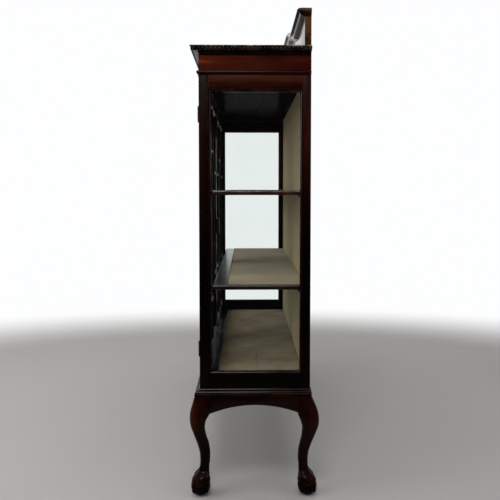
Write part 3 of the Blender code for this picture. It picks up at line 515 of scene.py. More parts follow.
finishes = {
    "legWood": woodFinish(
        "legMahogany", "leg", "z", (0.3, 0.1, 0.2), shine=0.26, coat=0.13, specular=0.02, lowShade=0.6, blur=0.10,
        span=(0.04, 0.36), dull=1.25),
    "lengthWood": woodFinish("lengthMahogany", "red", "x", (0.0, 0.4, 0.1), shine=0.26, coat=0.4),
    "topWood": woodFinish("topMahogany", "top", "x", (0.2, 0.4, 0.6), shine=0.30),
    "carvedWood": woodFinish(
        "carvedMahogany", "carved", "x", (0.2, 0.4, 0.6), shine=0.36, coat=0.10, specular=0.06),
    "baseWood": woodFinish(
        "baseMahogany", "dark", "x", (0.3, 0.9, 0.1), shine=0.20, coat=0.42, specular=0.04, lowShade=0.6),
    "endWood": woodFinish(
        "endMahogany", "gold", "y", (0.1, 0.0, 0.35), shine=0.27, coat=0.15, specular=0.05, fade="shadedToBack"),
    "apronWood": woodFinish(
        "endApronMahogany", "leg", "y", (0.6, 0.2, 0.15), shine=0.26, coat=0.16, specular=0.04, lowShade=0.30),
    "capWood": woodFinish("capMahogany", "leg", "x", (0.1, 0.7, 0.2), shine=0.26, coat=0.6, specular=0.1),
    "galleryWood": woodFinish(
        "galleryMahogany", "brown", "x", (0.7, 0.15, 0.0), shine=0.25, coat=1.0, specular=0.1, blur=0.04),
    "postWood": woodFinish(
        "postMahogany", "dark", "z", (0.2, 0.5, 0.3), shine=0.26, coat=0.26, specular=0.03, lowShade=0.97),
    "backPostWood": woodFinish(
        "backPostMahogany", "wine", "z", (0.6, 0.1, 0.2), shine=0.26, coat=0.14, specular=0.03, lowShade=0.97),
    "railWood": woodFinish(
        "railMahogany", "dark", "x", (0.5, 0.3, 0.1), shine=0.28, coat=0.12, specular=0.04, lowShade=0.90),
    "barWood": woodFinish(
        "barMahogany", "dark", "z", (0.4, 0.2, 0.5), shine=0.32, coat=0.04, specular=0.02, lowShade=0.80),
    "shelfWood": woodFinish(
        "shelfMahogany", "shelf", "x", (0.5, 0.3, 0.1), shine=0.34, coat=1.0, specular=0.10, lowShade=0.75,
        blur=0.28, span=(0.70, 0.85), dull=0.0),
    # the ceiling is painted light near its right end and painted shade beyond
    "ceilingWood": woodFinish(
        "ceilingMahogany", "ceilingLit", "x", (0.1, 0.3, 0.7), shine=0.44, coat=1.0, specular=0.0, blur=0.20,
        fade="shaded"),
    "endRailWood": woodFinish(
        "endRailMahogany", "rail", "y", (0.4, 0.1, 0.6), shine=0.28, coat=0.16, specular=0.04, lowShade=0.97),
    "beadWood": woodFinish(
        "beadMahogany", "dark", "z", (0.1, 0.4, 0.6), shine=0.22, coat=0.40, specular=0.06, lowShade=0.80),
    "backWood": woodFinish(
        "backBoards", "back", "z", (0.1, 0.8, 0.3), shine=0.55, coat=0.0, specular=0.25),
    "cloth": clothFinish("liningCloth", stain=0.45),
    "backCloth": clothFinish("backCloth", foldShade=0.08),
    "floorCloth": clothFinish("floorCloth", seam=0.130, stain=0.95),
    "glass": glassFinish(),
    "brass": metalFinish("brass"),
    "bronze": metalFinish("bronze"),
    "steel": metalFinish("steel"),
}
print("finishes are mixed")


# mesh tools

def newShape():
    shape = bmesh.new()
    shape.faces.layers.float.new("rub")  # 1 on rubbed edges, below 0 where shade is painted: in corners, under mouldings, round the feet and on the shelves' long edges
    return shape


def addBoard(shape, low, high, ease=0.0012, steps=2):
    low, high = Vector(low), Vector(high)
    size = Matrix.Diagonal((*(high - low), 1))
    made = bmesh.ops.create_cube(shape, size=1, matrix=Matrix.Translation((low + high) / 2) @ size)
    edges = list(dict.fromkeys(edge for point in made["verts"] for edge in point.link_edges))
    cut = bmesh.ops.bevel(shape, geom=edges, offset=ease, segments=steps, profile=0.5, affect="EDGES")
    rub = shape.faces.layers.float["rub"]
    for face in cut["faces"]:
        face[rub] = 1


def addLoft(shape, rows, closed=True, ring=False):
    # rows of points side by side; closed joins the last row to the first, ring joins each row's ends
    grid = [[shape.verts.new(point) for point in row] for row in rows]
    count = len(grid[0])
    made = []
    for near in range(len(grid) if closed else len(grid) - 1):
        this, other = grid[near], grid[(near + 1) % len(grid)]
        for step in range(count if ring else count - 1):
            onward = (step + 1) % count
            made.append(shape.faces.new((this[step], this[onward], other[onward], other[step])))
    if closed and not ring:
        shape.faces.new([row[0] for row in grid])
        shape.faces.new([row[-1] for row in grid])
    if ring and not closed:
        shape.faces.new(grid[0])
        shape.faces.new(grid[-1])
    return made


def insetLoop(points, distance):
    # moves each side of a flat outline inwards, the outline running counter-clockwise
    moved = []
    count = len(points)
    for here in range(count):
        before, spot, after = (Vector(points[(here + k) % count]) for k in (-1, 0, 1))
        into, onward = (spot - before).normalized(), (after - spot).normalized()
        left, right = Vector((-into.y, into.x)), Vector((-onward.y, onward.x))
        corner = left + right
        moved.append(spot + corner * (distance / max(0.3, 1 + left.dot(right))))
    return moved


def addSlab(shape, outline, thickness, toPlace, ease=0.0012, steps=3, edgeWearAndShade=(1, 0, 1)):
    # a board of any outline with eased edges; toPlace turns (across, along, deep) into a point
    # the last argument gives the wear of the near edge, the side and the far edge; below 0 it paints shade
    rub = shape.faces.layers.float["rub"]
    levels = []
    for step in range(steps + 1):
        angle = math.pi / 2 * step / steps
        levels.append((ease * (1 - math.sin(angle)), ease * (1 - math.cos(angle))))
    levels += [(inset, thickness - deep) for inset, deep in reversed(levels)]
    rows = []
    for inset, deep in levels:
        rows.append([toPlace(point[0], point[1], deep) for point in insetLoop(outline, inset)])
    made = addLoft(shape, rows, closed=False, ring=True)
    count = len(outline)
    for number, face in enumerate(made):
        level = number // count
        face[rub] = edgeWearAndShade[(level >= steps) + (level > steps)]


def arc(centre, radius, start, stop, steps):
    points = []
    for step in range(steps + 1):
        angle = math.radians(start + (stop - start) * step / steps)
        points.append((centre[0] + radius[0] * math.cos(angle), centre[1] + radius[1] * math.sin(angle)))
    return points


def addTurned(shape, profile, centre, axis, sides):
    # a turned form: profile is (distance along the axis, radius)
    turn = Vector((0, 0, 1)).rotation_difference(Vector(axis)).to_matrix()
    rows = []
    for distance, radius in profile:
        row = []
        for step in range(sides):
            angle = 2 * math.pi * step / sides
            spot = Vector((radius * math.cos(angle), radius * math.sin(angle), distance))
            row.append(Vector(centre) + turn @ spot)
        rows.append(row)
    addLoft(shape, rows, closed=False, ring=True)


def addPaintedShade(shape, amountAt):
    # amountAt gives the painted shade at a point
    rub = shape.faces.layers.float["rub"]
    for face in shape.faces:
        face[rub] = -amountAt(face.calc_center_median())


def finishPiece(shape, name, finish, body, nodes=(), sharp=26, merge=False):
    if merge:
        bmesh.ops.remove_doubles(shape, verts=shape.verts, dist=sameSpot)
    bmesh.ops.recalc_face_normals(shape, faces=shape.faces)
    mesh = bpy.data.meshes.new(name)
    shape.to_mesh(mesh)
    shape.free()
    mesh.materials.append(finishes[finish])
    mesh.shade_smooth()
    mesh.set_sharp_from_angle(angle=math.radians(sharp))
    piece = bpy.data.objects.new(name, mesh)
    scene.collection.objects.link(piece)
    return settle(piece, body, nodes)


def settle(piece, body, nodes=()):
    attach(piece, body)
    if nodes:
        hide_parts(*nodes)
    return piece


def dressNode(name, finish):
    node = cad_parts[name]
    if not node.material_slots:
        node.data.materials.append(None)
    for slot in node.material_slots:
        slot.material = finishes[finish]


def boardPiece(name, finish, body, ease=0.0012):
    shape = newShape()
    addBoard(shape, *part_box(name), ease)
    return finishPiece(shape, f"{name}_board", finish, body, [name])


# cabriole legs with ball and claw feet

legForm = {  # lengths in millimetres
    "stations": (  # height, reach outside the carcase corner, reach inside it, squareness
        (303, 15.0, 31.0, 14), (290, 18.5, 31.0, 9), (277, 22.4, 31.0, 6.5), (265, 26.2, 31.0, 5.4),
        (253, 28.6, 30.6, 4.8), (246, 29.2, 28.0, 4.2), (238, 29.4, 23.0, 3.8), (228, 28.9, 18.4, 3.4),
        (216, 27.2, 16.2, 3.2), (204, 24.0, 15.4, 3.0), (179, 16.4, 19.3, 2.7), (155, 9.2, 26.2, 2.5),
        (130, 3.0, 29.6, 2.4), (115, 1.0, 30.0, 2.3), (100, 0.4, 29.6, 2.3), (88, 0.8, 28.2, 2.2),
        (80, 1.4, 27.2, 2.1), (74, 2.6, 26.6, 2.0), (68, 6.6, 26.6, 2.0), (62, 13.4, 27.4, 2.0),
        (56, 19.8, 29.0, 2.0), (50, 23.4, 30.4, 2.0), (44, 25.0, 31.0, 2.0), (34, 26.0, 31.2, 2.0),
    ),
    "backTrim": (  # back legs reach less far back
        (303, 12.0), (283, 8.0), (262, 5.5), (245, 4.0), (215, 2.0), (180, 0.0),
    ),
    "backLean": ((215, 0.0), (180, 2.0), (130, 4.5), (70, 6.0), (0, 6.0)),  # and stand further in
    "backInner": (  # their knees are fuller inside
        (275, 0.0), (262, 3.0), (250, 8.0), (237, 10.5), (225, 10.5), (213, 9.0), (189, 6.0), (165, 1.6),
        (150, 0.0),
    ),
    "footSpan": (32, 46),  # the foot turns into the leg between these heights
    "ballRadius": 29.0,
    "ballHeight": 26.4,
    "ballOut": -1.8,
    "webEdge": (34, 40),  # height of the web beside a claw and half way to the next
    "webSoft": (1.6, 1.0),  # its edge spreads this far down and up
    "webValley": 1.5,  # the web sinks between the tendons
    "valleySpan": (44, 56, 70, 92),
    "groove": 1.3,  # round the ball, under the web
    "grooveTall": 5.0,
    "claw": (  # height, reach from the middle of the foot
        (94, 14.4), (86, 17.0), (78, 18.2), (70, 20.6), (62, 25.6), (56, 29.8), (50, 32.2), (44, 32.8),
        (38, 34.0), (32, 34.8), (26, 33.6), (20, 33.8), (14, 31.2), (9, 25.6), (4, 17.0), (0, 8.6),
    ),
    "clawHalf": 4.0,
    "nailHalf": 2.4,
    "nailSpan": (4, 30),
    "clawCore": 10.0,
    "clawSpread": 0.86,
    # painted shade round the ball, fading out between these heights
    "paintedShade": 0.8,
    "ballShadeSpan": (28, 42),
    "sides": 144,
    "footTop": 96,
    "footStep": 0.9,
    "legStep": 3.6,
}


def softStep(value, low, high):
    share = min(1.0, max(0.0, (value - low) / (high - low)))
    return share * share * (3 - 2 * share)


def curveAt(rows, height):
    # a smooth curve through rows of (height, value, value ...), highest first
    last = len(rows) - 1
    height = min(rows[0][0], max(rows[last][0], height))
    near = next((n for n in range(last) if rows[n + 1][0] <= height), last - 1)
    high, low = rows[near][0], rows[near + 1][0]
    share = (high - height) / (high - low)
    square, cube = share * share, share ** 3
    values = []
    for item in range(1, len(rows[0])):
        slopes = []
        for index in (near, near + 1):
            before, after = rows[max(0, index - 1)], rows[min(last, index + 1)]
            slopes.append((after[item] - before[item]) / (before[0] - after[0]) * (high - low))
        values.append(
            (2 * cube - 3 * square + 1) * rows[near][item] + (cube - 2 * square + share) * slopes[0]
            + (3 * square - 2 * cube) * rows[near + 1][item] + (cube - square) * slopes[1])
    return values


def webRadius(height, heading, legRadius):
    # the ball, and over it the web that joins the claws
    form = legForm
    drop = height - form["ballHeight"]
    ball = math.sqrt(max(0.0, form["ballRadius"] ** 2 - drop * drop))
    swing = 0.5 - 0.5 * math.cos(4 * (heading - math.pi / 4))  # 0 at a claw, 1 half way to the next
    low, high = form["webEdge"]
    edge = low + (high - low) * swing
    below, above = form["webSoft"]
    covered = softStep(height, edge - below, edge + above)
    sinkFrom, sinkFull, riseFrom, riseFull = form["valleySpan"]
    valley = softStep(height, sinkFrom, sinkFull) * (1 - softStep(height, riseFrom, riseFull))
    sunk = form["webValley"] * swing * valley
    groove = form["groove"] * softStep(height, edge - form["grooveTall"], edge - below) * (1 - covered)
    return max(ball - groove, covered * (legRadius - sunk))


def footRadius(height, heading, legRadius):
    # the ball, the web over it and the four claws, as a distance from the foot's middle
    form = legForm
    body = webRadius(height, heading, legRadius)
    apart = heading % (math.pi / 2) - math.pi / 4
    claw = curveAt(form["claw"], height)[0] if height < form["claw"][0][0] else 0.0
    wide = form["nailHalf"] + (form["clawHalf"] - form["nailHalf"]) * softStep(height, *form["nailSpan"])
    aside = apart * max(claw, body, form["clawCore"]) * form["clawSpread"] / wide
    ridge = max(0.0, claw - body) * math.sqrt(max(0.0, 1 - aside * aside))
    return body + ridge


def legRing(height, sideX, sideY):
    out, inward, square = curveAt(legForm["stations"], height)
    trim, lean, fuller = 0.0, 0.0, 0.0
    if sideY > 0:
        trim = curveAt(legForm["backTrim"], height)[0]
        lean = curveAt(legForm["backLean"], height)[0]
        fuller = curveAt(legForm["backInner"], height)[0]
    foot = 1 - softStep(height, *legForm["footSpan"])
    middle = (out - inward) / 2 * (1 - foot) + legForm["ballOut"] * foot
    middleY = middle - (trim + fuller) / 2 - lean
    halfWide, halfDeep = (out + inward) / 2, (out + inward - trim + fuller) / 2
    ring = []
    for step in range(legForm["sides"]):
        heading = 2 * math.pi * (step + 0.5) / legForm["sides"]
        cosine, sine = math.cos(heading), math.sin(heading)
        unit = (abs(cosine) ** square + abs(sine) ** square) ** (-1 / square)
        across, deep = halfWide * unit, halfDeep * unit
        if height < legForm["footTop"]:
            across = deep = footRadius(height, heading, across)
        x = sideX * (half + (middle + across * cosine) / 1000)
        y = sideY * (back + (middleY + deep * sine) / 1000)
        ring.append(Vector((x, y, height / 1000)))
    return ring


def footShade(spot):
    # painted shade low round the ball
    return legForm["paintedShade"] * (1 - softStep(spot.z * 1000, *legForm["ballShadeSpan"]))


def makeLegs():
    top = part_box("leg_front_right")[1].z * 1000
    ankle = legForm["footTop"]
    footSteps = round(ankle / legForm["footStep"])
    heights = [ankle * step / footSteps for step in range(footSteps)]
    legSteps = round((top - ankle) / legForm["legStep"])
    heights += [ankle + (top - ankle) * step / legSteps for step in range(legSteps + 1)]
    for end, sideX in (("left", -1), ("right", 1)):
        for face, sideY in (("front", -1), ("back", 1)):
            node = f"leg_{face}_{end}"
            shape = newShape()
            addLoft(shape, [legRing(height, sideX, sideY) for height in heights], closed=False, ring=True)
            addPaintedShade(shape, footShade)
            finishPiece(shape, f"{node}_cabriole", "legWood", "carcase", [node], sharp=48)


makeLegs()
print("legs are carved")


# aprons

apronForm = {
    "arch": 0.0275,  # rise of the arch
    "steps": 48,
    "ease": 0.0022,
    "endsInLeg": 0.004,
}


def apronOutline(halfLong, foot, top):
    points = [(halfLong, top), (-halfLong, top), (-halfLong, foot)]
    for step in range(1, apronForm["steps"]):
        along = halfLong * (2 * step / apronForm["steps"] - 1)
        points.append((along, foot + apronForm["arch"] * (1 - (along / halfLong) ** 2)))
    return points + [(halfLong, foot)]


def makeAprons():
    for name in ("front", "back", "left", "right"):
        node = f"apron_{name}"
        low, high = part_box(node)
        across = name in ("front", "back")
        thickness = (high.y - low.y) if across else (high.x - low.x)
        halfLong = (high.x if across else high.y) + apronForm["endsInLeg"]

        def toPlace(along, height, deep):
            return Vector((along, low.y + deep, height)) if across else Vector((low.x + deep, along, height))

        shape = newShape()
        addSlab(shape, apronOutline(halfLong, low.z, high.z), thickness, toPlace, apronForm["ease"])
        wood = "lengthWood" if across else "apronWood"
        finishPiece(shape, f"{node}_arch", wood, "carcase", [node])


makeAprons()
print("aprons are set between the legs")


# mouldings round the carcase

def rimRow(out, height, backOut=0.0):
    # front corners and ends of the carcase, moved out by the moulding
    far = back + backOut
    return [
        Vector((-half - out, far, height)), Vector((-half - out, front - out, height)),
        Vector((half + out, front - out, height)), Vector((half + out, far, height)),
    ]


baseForm = {  # out from the carcase, and up from the foot of the board
    "proud": 0.0150,
    "foot": 0.0082,  # height of the square edge
    "arris": 0.001,  # slope at its lower corner
    "quirk": 0.0006,  # and at its upper one
    "roll": 0.0086,  # foot of the hollow, over the roll
    "rollIn": 0.0012,
    "rollUp": 0.0004,
    "rollTop": 0.0150,
    "lip": (0.0009, 0.0011, 0.0013),  # over the roll: depth, height of its outer and inner edge
    "topOut": 0.0016,
    "backOut": 0.003,
    "steps": 9,
}


def baseSection(low, high):
    form = baseForm
    proud, roll, quirk = form["proud"], form["roll"], form["quirk"]
    foot, waist = low + form["foot"], low + form["rollTop"]
    rollFoot = foot + form["rollUp"]
    lipIn, lipOuter, lipInner = form["lip"]
    section = [(0.0, low), (proud - form["arris"], low), (proud, low + form["arris"])]
    section += [(proud, foot - quirk), (proud - quirk, foot)]
    section += arc((roll, rollFoot), (proud - form["rollIn"] - roll, waist - rollFoot), 0, 90, form["steps"])
    section += [(roll, waist + lipOuter), (roll - lipIn, waist + lipInner)]
    hollow = (roll - lipIn - form["topOut"], high - waist - lipInner)
    section += arc((roll - lipIn, high), hollow, 270, 184, form["steps"])
    return section + [(form["topOut"], high), (0.0, high)]


def makeBase():
    low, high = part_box("bottom_board")
    section = baseSection(low.z, high.z)
    rows = [rimRow(out, height, min(out, baseForm["backOut"])) for out, height in section]
    shape = newShape()
    addLoft(shape, rows, closed=False, ring=True)
    finishPiece(
        shape, "bottom_board_moulded", "baseWood", "carcase", ["bottom_board"],
        sharp=32, merge=True)


friezeForm = {
    "thick": 0.020,
    "bead": 0.0118,  # height of the bead at its foot
    "proud": 0.0062,
    "fillet": 0.0018,  # small step under the bead
    "filletOut": 0.35,  # as a share of the bead
    "quirk": 0.0012,  # small groove over the bead
    "quirkOut": (0.0004, -0.0006),
    "plain": 0.004,  # the plain face starts here, over the bead
    "shade": 0.0055,  # strip of painted shade under the cornice
    # painted shade under the cornice, and the bead darkened the same way
    "beadShade": 0.7,
    "corniceShade": 0.85,
}


def friezeSection(foot, head):
    form = friezeForm
    thick, fillet = form["thick"], form["fillet"]
    filletOut = form["proud"] * form["filletOut"]
    radius = (form["bead"] - fillet) / 2
    top, quirk = foot + form["bead"], form["quirk"]
    quirkOut, quirkIn = form["quirkOut"]
    section = [(-thick, foot), (filletOut, foot), (filletOut, foot + fillet)]
    section += arc((form["proud"] - radius, foot + fillet + radius), (radius, radius), -78, 78, 12)
    section += [(quirkOut, top), (quirkIn, top + quirk * 0.5), (0.0, top + quirk)]
    return section + [(0.0, top + form["plain"]), (0.0, head - form["shade"]), (0.0, head), (-thick, head)]


def makeFrieze():
    low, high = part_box("frieze_front")
    section = friezeSection(low.z, high.z)

    def paintedShadeAt(spot):
        if spot.z > high.z - friezeForm["shade"]:
            return friezeForm["corniceShade"]
        return friezeForm["beadShade"] if spot.z < low.z + friezeForm["bead"] else 0.0

    def addRun(name, rows, wood):
        shape = newShape()
        addLoft(shape, rows)
        addPaintedShade(shape, paintedShadeAt)
        finishPiece(shape, f"{name}_beaded", wood, "carcase", [name])

    rows = []
    for out, height in section:
        reach = half + out - fit
        rows.append([(-reach, front - out, height), (reach, front - out, height)])
    addRun("frieze_front", rows, "lengthWood")
    for end, side in (("left", -1), ("right", 1)):
        rows = []
        for out, height in section:
            x = side * (half + out)
            rows.append([(x, front - out + fit, height), (x, back, height)])
        addRun(f"frieze_{end}", rows, "endWood")


corniceForm = {
    "fillet": 0.0012,  # under and over the hollow
    "filletOut": 0.0008,
    "edge": 0.0011,
    "steps": 10,
    # painted shade over the whole hollow, under the top's overhang
    "paintedShade": 0.85,
}
topForm = {
    "lip": 0.0040,  # height of the rounded lip over the gadroons
    "lipLong": 1.2,  # times its half height
    "proud": 0.0240,
    "core": 0.0160,  # where the gadroons sit
    "inner": -0.05,
    "cove": (0.0008, 0.0006),  # slope under the lip
    "flat": (0.002, 0.006),  # behind the lip
    "wear": 1.2,
    "pitch": 0.0118,
    "lobeWide": 0.56,  # half width, as a share of the pitch
    "lobeDepth": 0.0070,
    "lobeOver": 0.0008,  # into the lip
    "lobeSides": 10,
    "lobeRings": 8,
    "lean": 0.55,
}


def makeCornice():
    low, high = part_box("cornice_moulding")
    form = corniceForm
    proud, thick, fillet = high.x - half, friezeForm["thick"], form["fillet"]
    section = [(-thick, low.z), (0.0, low.z), (form["filletOut"], low.z), (form["filletOut"], low.z + fillet)]
    reach, rise = proud - 2 * fillet, high.z - low.z - 2 * fillet
    for step in range(form["steps"] + 1):
        angle = math.pi / 2 * step / form["steps"]
        section.append((fillet + reach * (1 - math.cos(angle)), low.z + fillet + rise * math.sin(angle)))
    section += [(proud, high.z - form["edge"]), (proud, high.z), (-thick, high.z)]

    def paintedShadeAt(spot):
        return form["paintedShade"]

    shape = newShape()
    addLoft(shape, [rimRow(out, height) for out, height in section])
    addPaintedShade(shape, paintedShadeAt)
    finishPiece(shape, "cornice_hollow", "lengthWood", "carcase", ["cornice_moulding"])


def topSection(low, high):
    form = topForm
    core, inner = form["core"], form["inner"]
    lipFoot = high - form["lip"]
    coveOut, coveUp = form["cove"]
    tall = form["lip"] / 2
    start = form["proud"] - tall * form["lipLong"]
    section = [(inner, low), (core, low), (core, lipFoot - coveUp), (core + coveOut, lipFoot)]
    section += arc((start, lipFoot + tall), (tall * form["lipLong"], tall), -80, 80, 12)
    return section + [(start - behind, high) for behind in form["flat"]] + [(inner, high)]


def makeTop():
    low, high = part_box("top_board")
    shape = newShape()
    rows = [rimRow(out, height) for out, height in topSection(low.z, high.z)]
    addLoft(shape, rows, closed=False, ring=True)
    rub = shape.faces.layers.float["rub"]
    for face in shape.faces:
        underTop = max(point.co.z for point in face.verts) < high.z  # the lip and what is under it
        if underTop and face.calc_center_median().y < back - fit:
            face[rub] = topForm["wear"]
    finishPiece(shape, "top_board_lip", "topWood", "carcase", ["top_board"])


# Geometry Nodes: repeats along a path, and heads set at points

def newTree(name, inputs):
    tree = bpy.data.node_groups.new(name, "GeometryNodeTree")
    tree.interface.new_socket("Geometry", in_out="INPUT", socket_type="NodeSocketGeometry")
    for label, kind in inputs:
        tree.interface.new_socket(label, in_out="INPUT", socket_type=f"NodeSocket{kind}")
    tree.interface.new_socket("Geometry", in_out="OUTPUT", socket_type="NodeSocketGeometry")
    return tree, Wire(tree).node("NodeGroupInput")


def closeTree(wire, geometry):
    real = wire.node("GeometryNodeRealizeInstances", {}, {0: geometry})
    smooth = wire.node("GeometryNodeSetShadeSmooth", {}, {0: real})
    painted = wire.node("GeometryNodeSetMaterial", {}, {0: smooth, "Material": wire.also("Finish")})
    wire.node("NodeGroupOutput", {}, {0: painted})


def grow(name, tree, guide, values, sharp=40):
    # runs a tree on a guide mesh and keeps the outcome as a plain mesh
    holder = bpy.data.objects.new(f"{name}Guide", guide)
    scene.collection.objects.link(holder)
    step = holder.modifiers.new(name, "NODES")
    step.node_group = tree
    for item in tree.interface.items_tree:
        if item.in_out == "INPUT" and item.name in values:
            step[item.identifier] = values[item.name]
    bpy.context.view_layer.update()
    evaluated = holder.evaluated_get(bpy.context.evaluated_depsgraph_get())
    mesh = bpy.data.meshes.new_from_object(evaluated)
    mesh.name = name
    mesh.set_sharp_from_angle(angle=math.radians(sharp))
    bpy.data.objects.remove(holder)
    piece = bpy.data.objects.new(name, mesh)
    scene.collection.objects.link(piece)
    return piece


def gadroonTree():
    inputs = (("Pitch", "Float"), ("Lobe", "Vector"), ("Lean", "Float"), ("Finish", "Material"))
    tree, wire = newTree("gadroons", inputs)
    path = wire.node("GeometryNodeMeshToCurve", {}, {0: wire})
    spots = wire.node("GeometryNodeCurveToPoints", {"mode": "LENGTH"}, {
        0: path, "Length": wire.also("Pitch")})
    lobe = wire.node("GeometryNodeMeshUVSphere", {}, {
        "Segments": topForm["lobeSides"], "Rings": topForm["lobeRings"]})
    sized = wire.node("GeometryNodeTransform", {}, {0: lobe, "Scale": wire.also("Lobe")})
    where = wire.node("GeometryNodeInputPosition")
    split = wire.node("ShaderNodeSeparateXYZ", {}, {0: where})
    slide = wire.node("ShaderNodeCombineXYZ", {}, {0: split.also("Z") * wire.also("Lean")})
    leaning = wire.node("GeometryNodeSetPosition", {}, {0: sized, "Offset": slide})
    turn = wire.node("FunctionNodeAlignRotationToVector", {"axis": "X"}, {"Vector": spots.also("Tangent")})
    many = wire.node("GeometryNodeInstanceOnPoints", {}, {0: spots, "Instance": leaning, "Rotation": turn})
    closeTree(wire, many)
    return tree


def makeGadroons():
    low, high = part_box("top_board")
    form = topForm
    out = form["core"]
    height = (low.z + high.z - form["lip"]) / 2
    gap = form["pitch"] / 2
    corners = [
        ((-half - out, back - gap, height), (-half - out, front - out + gap, height)),
        ((-half - out + gap, front - out, height), (half + out - gap, front - out, height)),
        ((half + out, front - out + gap, height), (half + out, back - gap, height)),
    ]
    points = [point for run in corners for point in run]
    guide = bpy.data.meshes.new("gadroonGuide")
    guide.from_pydata(points, [(2 * run, 2 * run + 1) for run in range(len(corners))], [])
    halfTall = (high.z - form["lip"] - low.z) / 2 + form["lobeOver"]
    lobe = (form["pitch"] * form["lobeWide"], form["lobeDepth"], halfTall)
    values = {"Pitch": form["pitch"], "Lobe": lobe, "Lean": form["lean"], "Finish": finishes["carvedWood"]}
    settle(grow("gadroons", gadroonTree(), guide, values), "carcase")


makeBase()
makeFrieze()
makeCornice()
makeTop()
makeGadroons()
print("base, frieze, cornice and top are moulded")


# gallery

galleryForm = {
    "level": 0.252,  # level stretch at each end
    "ogee": 0.228,  # length of each rise
    "rise": 0.050,
    "steps": 40,
    "ease": 0.0012,
    "capTall": 0.0236,
    "capFoot": 0.0176,  # depths are behind the front of the cap
    "footTall": 0.0006,
    "noseFoot": 0.0122,
    "noseDeep": 0.0165,
    "noseIn": 0.0005,
    "noseQuirk": 0.0012,  # these are below the nose
    "stepDeep": 0.0085,
    "step": (0.0026, 0.0014),
    "hollow": (0.0175, 0.0030),  # middle of the hollow
    "hollowSize": (0.0086, 0.0080),
    "flat": 0.006,
    "endProud": 0.008,  # moulding past each end of the board
    "overhang": 0.024,
}


def galleryLine(low):
    # the shaped top from the right end to the left, as (along, height)
    start = half - galleryForm["level"]
    right = [(half, low)]
    for step in range(galleryForm["steps"] + 1):
        share = step / galleryForm["steps"]
        right.append((start - galleryForm["ogee"] * share, low + galleryForm["rise"] * softStep(share, 0, 1)))
    return right + [(-along, height) for along, height in reversed(right)]


def capSection():
    # from the foot up: behind the front of the cap, and above the board
    form = galleryForm
    deep, top, nose, stepDeep = form["noseDeep"], form["capTall"], form["noseFoot"], form["stepDeep"]
    hollowIn, hollowDrop = form["hollow"]
    section = [(form["capFoot"], 0.0), (form["capFoot"], form["footTall"])]
    section += arc((hollowIn, nose - hollowDrop), form["hollowSize"], 262, 182, 10)
    section += [(stepDeep, nose - drop) for drop in form["step"]]
    section += [(form["noseIn"], nose - form["noseQuirk"])]
    section += arc((deep, nose), (deep, top - nose), 180, 90, 14)
    return section + [(deep + form["flat"], top)]


def addCap(shape, line, low, high):
    # the moulding runs along the front and returns round both ends
    rings = []
    for deep, up in capSection():
        out = galleryForm["endProud"] * (1 - deep / galleryForm["overhang"])
        near, far = [], []
        for here, (along, height) in enumerate(line):
            before, after = line[max(0, here - 1)], line[min(len(line) - 1, here + 1)]
            run = Vector((before[0] - after[0], before[1] - after[1])).normalized()
            side = along * (1 + out / half)
            level = height + fit + up / max(0.5, run.x)
            near.append(shape.verts.new((side, low.y + deep, level)))
            far.append(shape.verts.new((side, high.y, level)))
        rings.append(near + far[::-1])
    count = len(rings[0])
    for lower, upper in zip(rings, rings[1:]):
        for step in range(count):
            onward = (step + 1) % count
            shape.faces.new((lower[step], lower[onward], upper[onward], upper[step]))
    for ring in (rings[0], rings[-1]):
        for step in range(count // 2 - 1):
            shape.faces.new((ring[step], ring[step + 1], ring[count - 2 - step], ring[count - 1 - step]))


def makeGallery():
    low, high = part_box("gallery_board")
    capLow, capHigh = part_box("gallery_cap")
    line = galleryLine(high.z - galleryForm["rise"])
    outline = [(-half, low.z), (half, low.z)] + line
    shape = newShape()

    def toPlace(along, height, deep):
        return Vector((along, low.y + deep, height))

    addSlab(shape, outline, high.y - low.y, toPlace, galleryForm["ease"])
    finishPiece(shape, "gallery_board_shaped", "galleryWood", "carcase", ["gallery_board"])
    shape = newShape()
    addCap(shape, line, capLow, capHigh)
    finishPiece(shape, "gallery_cap_moulded", "capWood", "carcase", ["gallery_cap"])


makeGallery()
print("gallery is shaped")


# posts, end frames and back

screwSpots = {"carcase": [], "left_door": [], "right_door": []}  # place and facing of each screw head

postForm = {
    "ease": 0.0011,
    "thick": 0.028,
    "deep": {"front": 0.028, "back": 0.024},
    "lap": 0.004,  # the thinner part of a back post starts this far below the frieze
    "pegRadius": 0.0028,
    "pegReach": {"front": 0.022, "back": 0.012},
    "pegRoot": 0.002,  # in the post
    "pegIn": 1.6,  # from the inside of the post, in radii
    "pegTip": ((0.002, 1.0), (0.0006, 0.8), (0.0, 0.4)),  # back from its end, share of its radius
    "pegSides": 20,
    "bead": 0.0075,  # glazing bead, across the opening
    "beadDeep": 0.0088,
    "beadStep": (0.0006, 0.0008),
    "beadCore": 0.0012,
}


def makePosts():
    inner = half - postForm["thick"]
    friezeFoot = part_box("frieze_front")[0].z - fit
    for end, side in (("left", -1), ("right", 1)):
        for face, way, outside in (("front", 1, front), ("back", -1, back)):
            node = f"{face}_post_{end}"
            low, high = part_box(node)
            inside = outside + way * postForm["deep"][face]
            y = sorted((inside, outside))
            x = sorted((side * inner, side * half))
            shape = newShape()
            addBoard(shape, (x[0], y[0], low.z), (x[1], y[1], min(high.z, friezeFoot)), postForm["ease"])
            if high.z > friezeFoot:  # behind the frieze the back posts are thinner
                x = sorted((side * inner, side * (half - friezeForm["thick"] - fit)))
                foot = friezeFoot - postForm["lap"]
                addBoard(shape, (x[0], y[0], foot), (x[1], y[1], high.z), postForm["ease"])
            addPegs(shape, side, inner, inside, way, postForm["pegReach"][face])
            wood = "postWood" if face == "front" else "backPostWood"
            finishPiece(shape, f"{node}_board", wood, "carcase", [node])


def addPegs(shape, side, inner, start, way, reach):
    radius, root = postForm["pegRadius"], postForm["pegRoot"]
    x = side * (inner + radius * postForm["pegIn"])
    profile = [(-root, radius)]
    profile += [(reach - behind, radius * share) for behind, share in postForm["pegTip"]]
    for level in ("lower", "upper"):
        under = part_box(f"shelf_{level}")[0].z - fit - radius
        addTurned(shape, profile, (x, start, under), (0, way, 0), postForm["pegSides"])


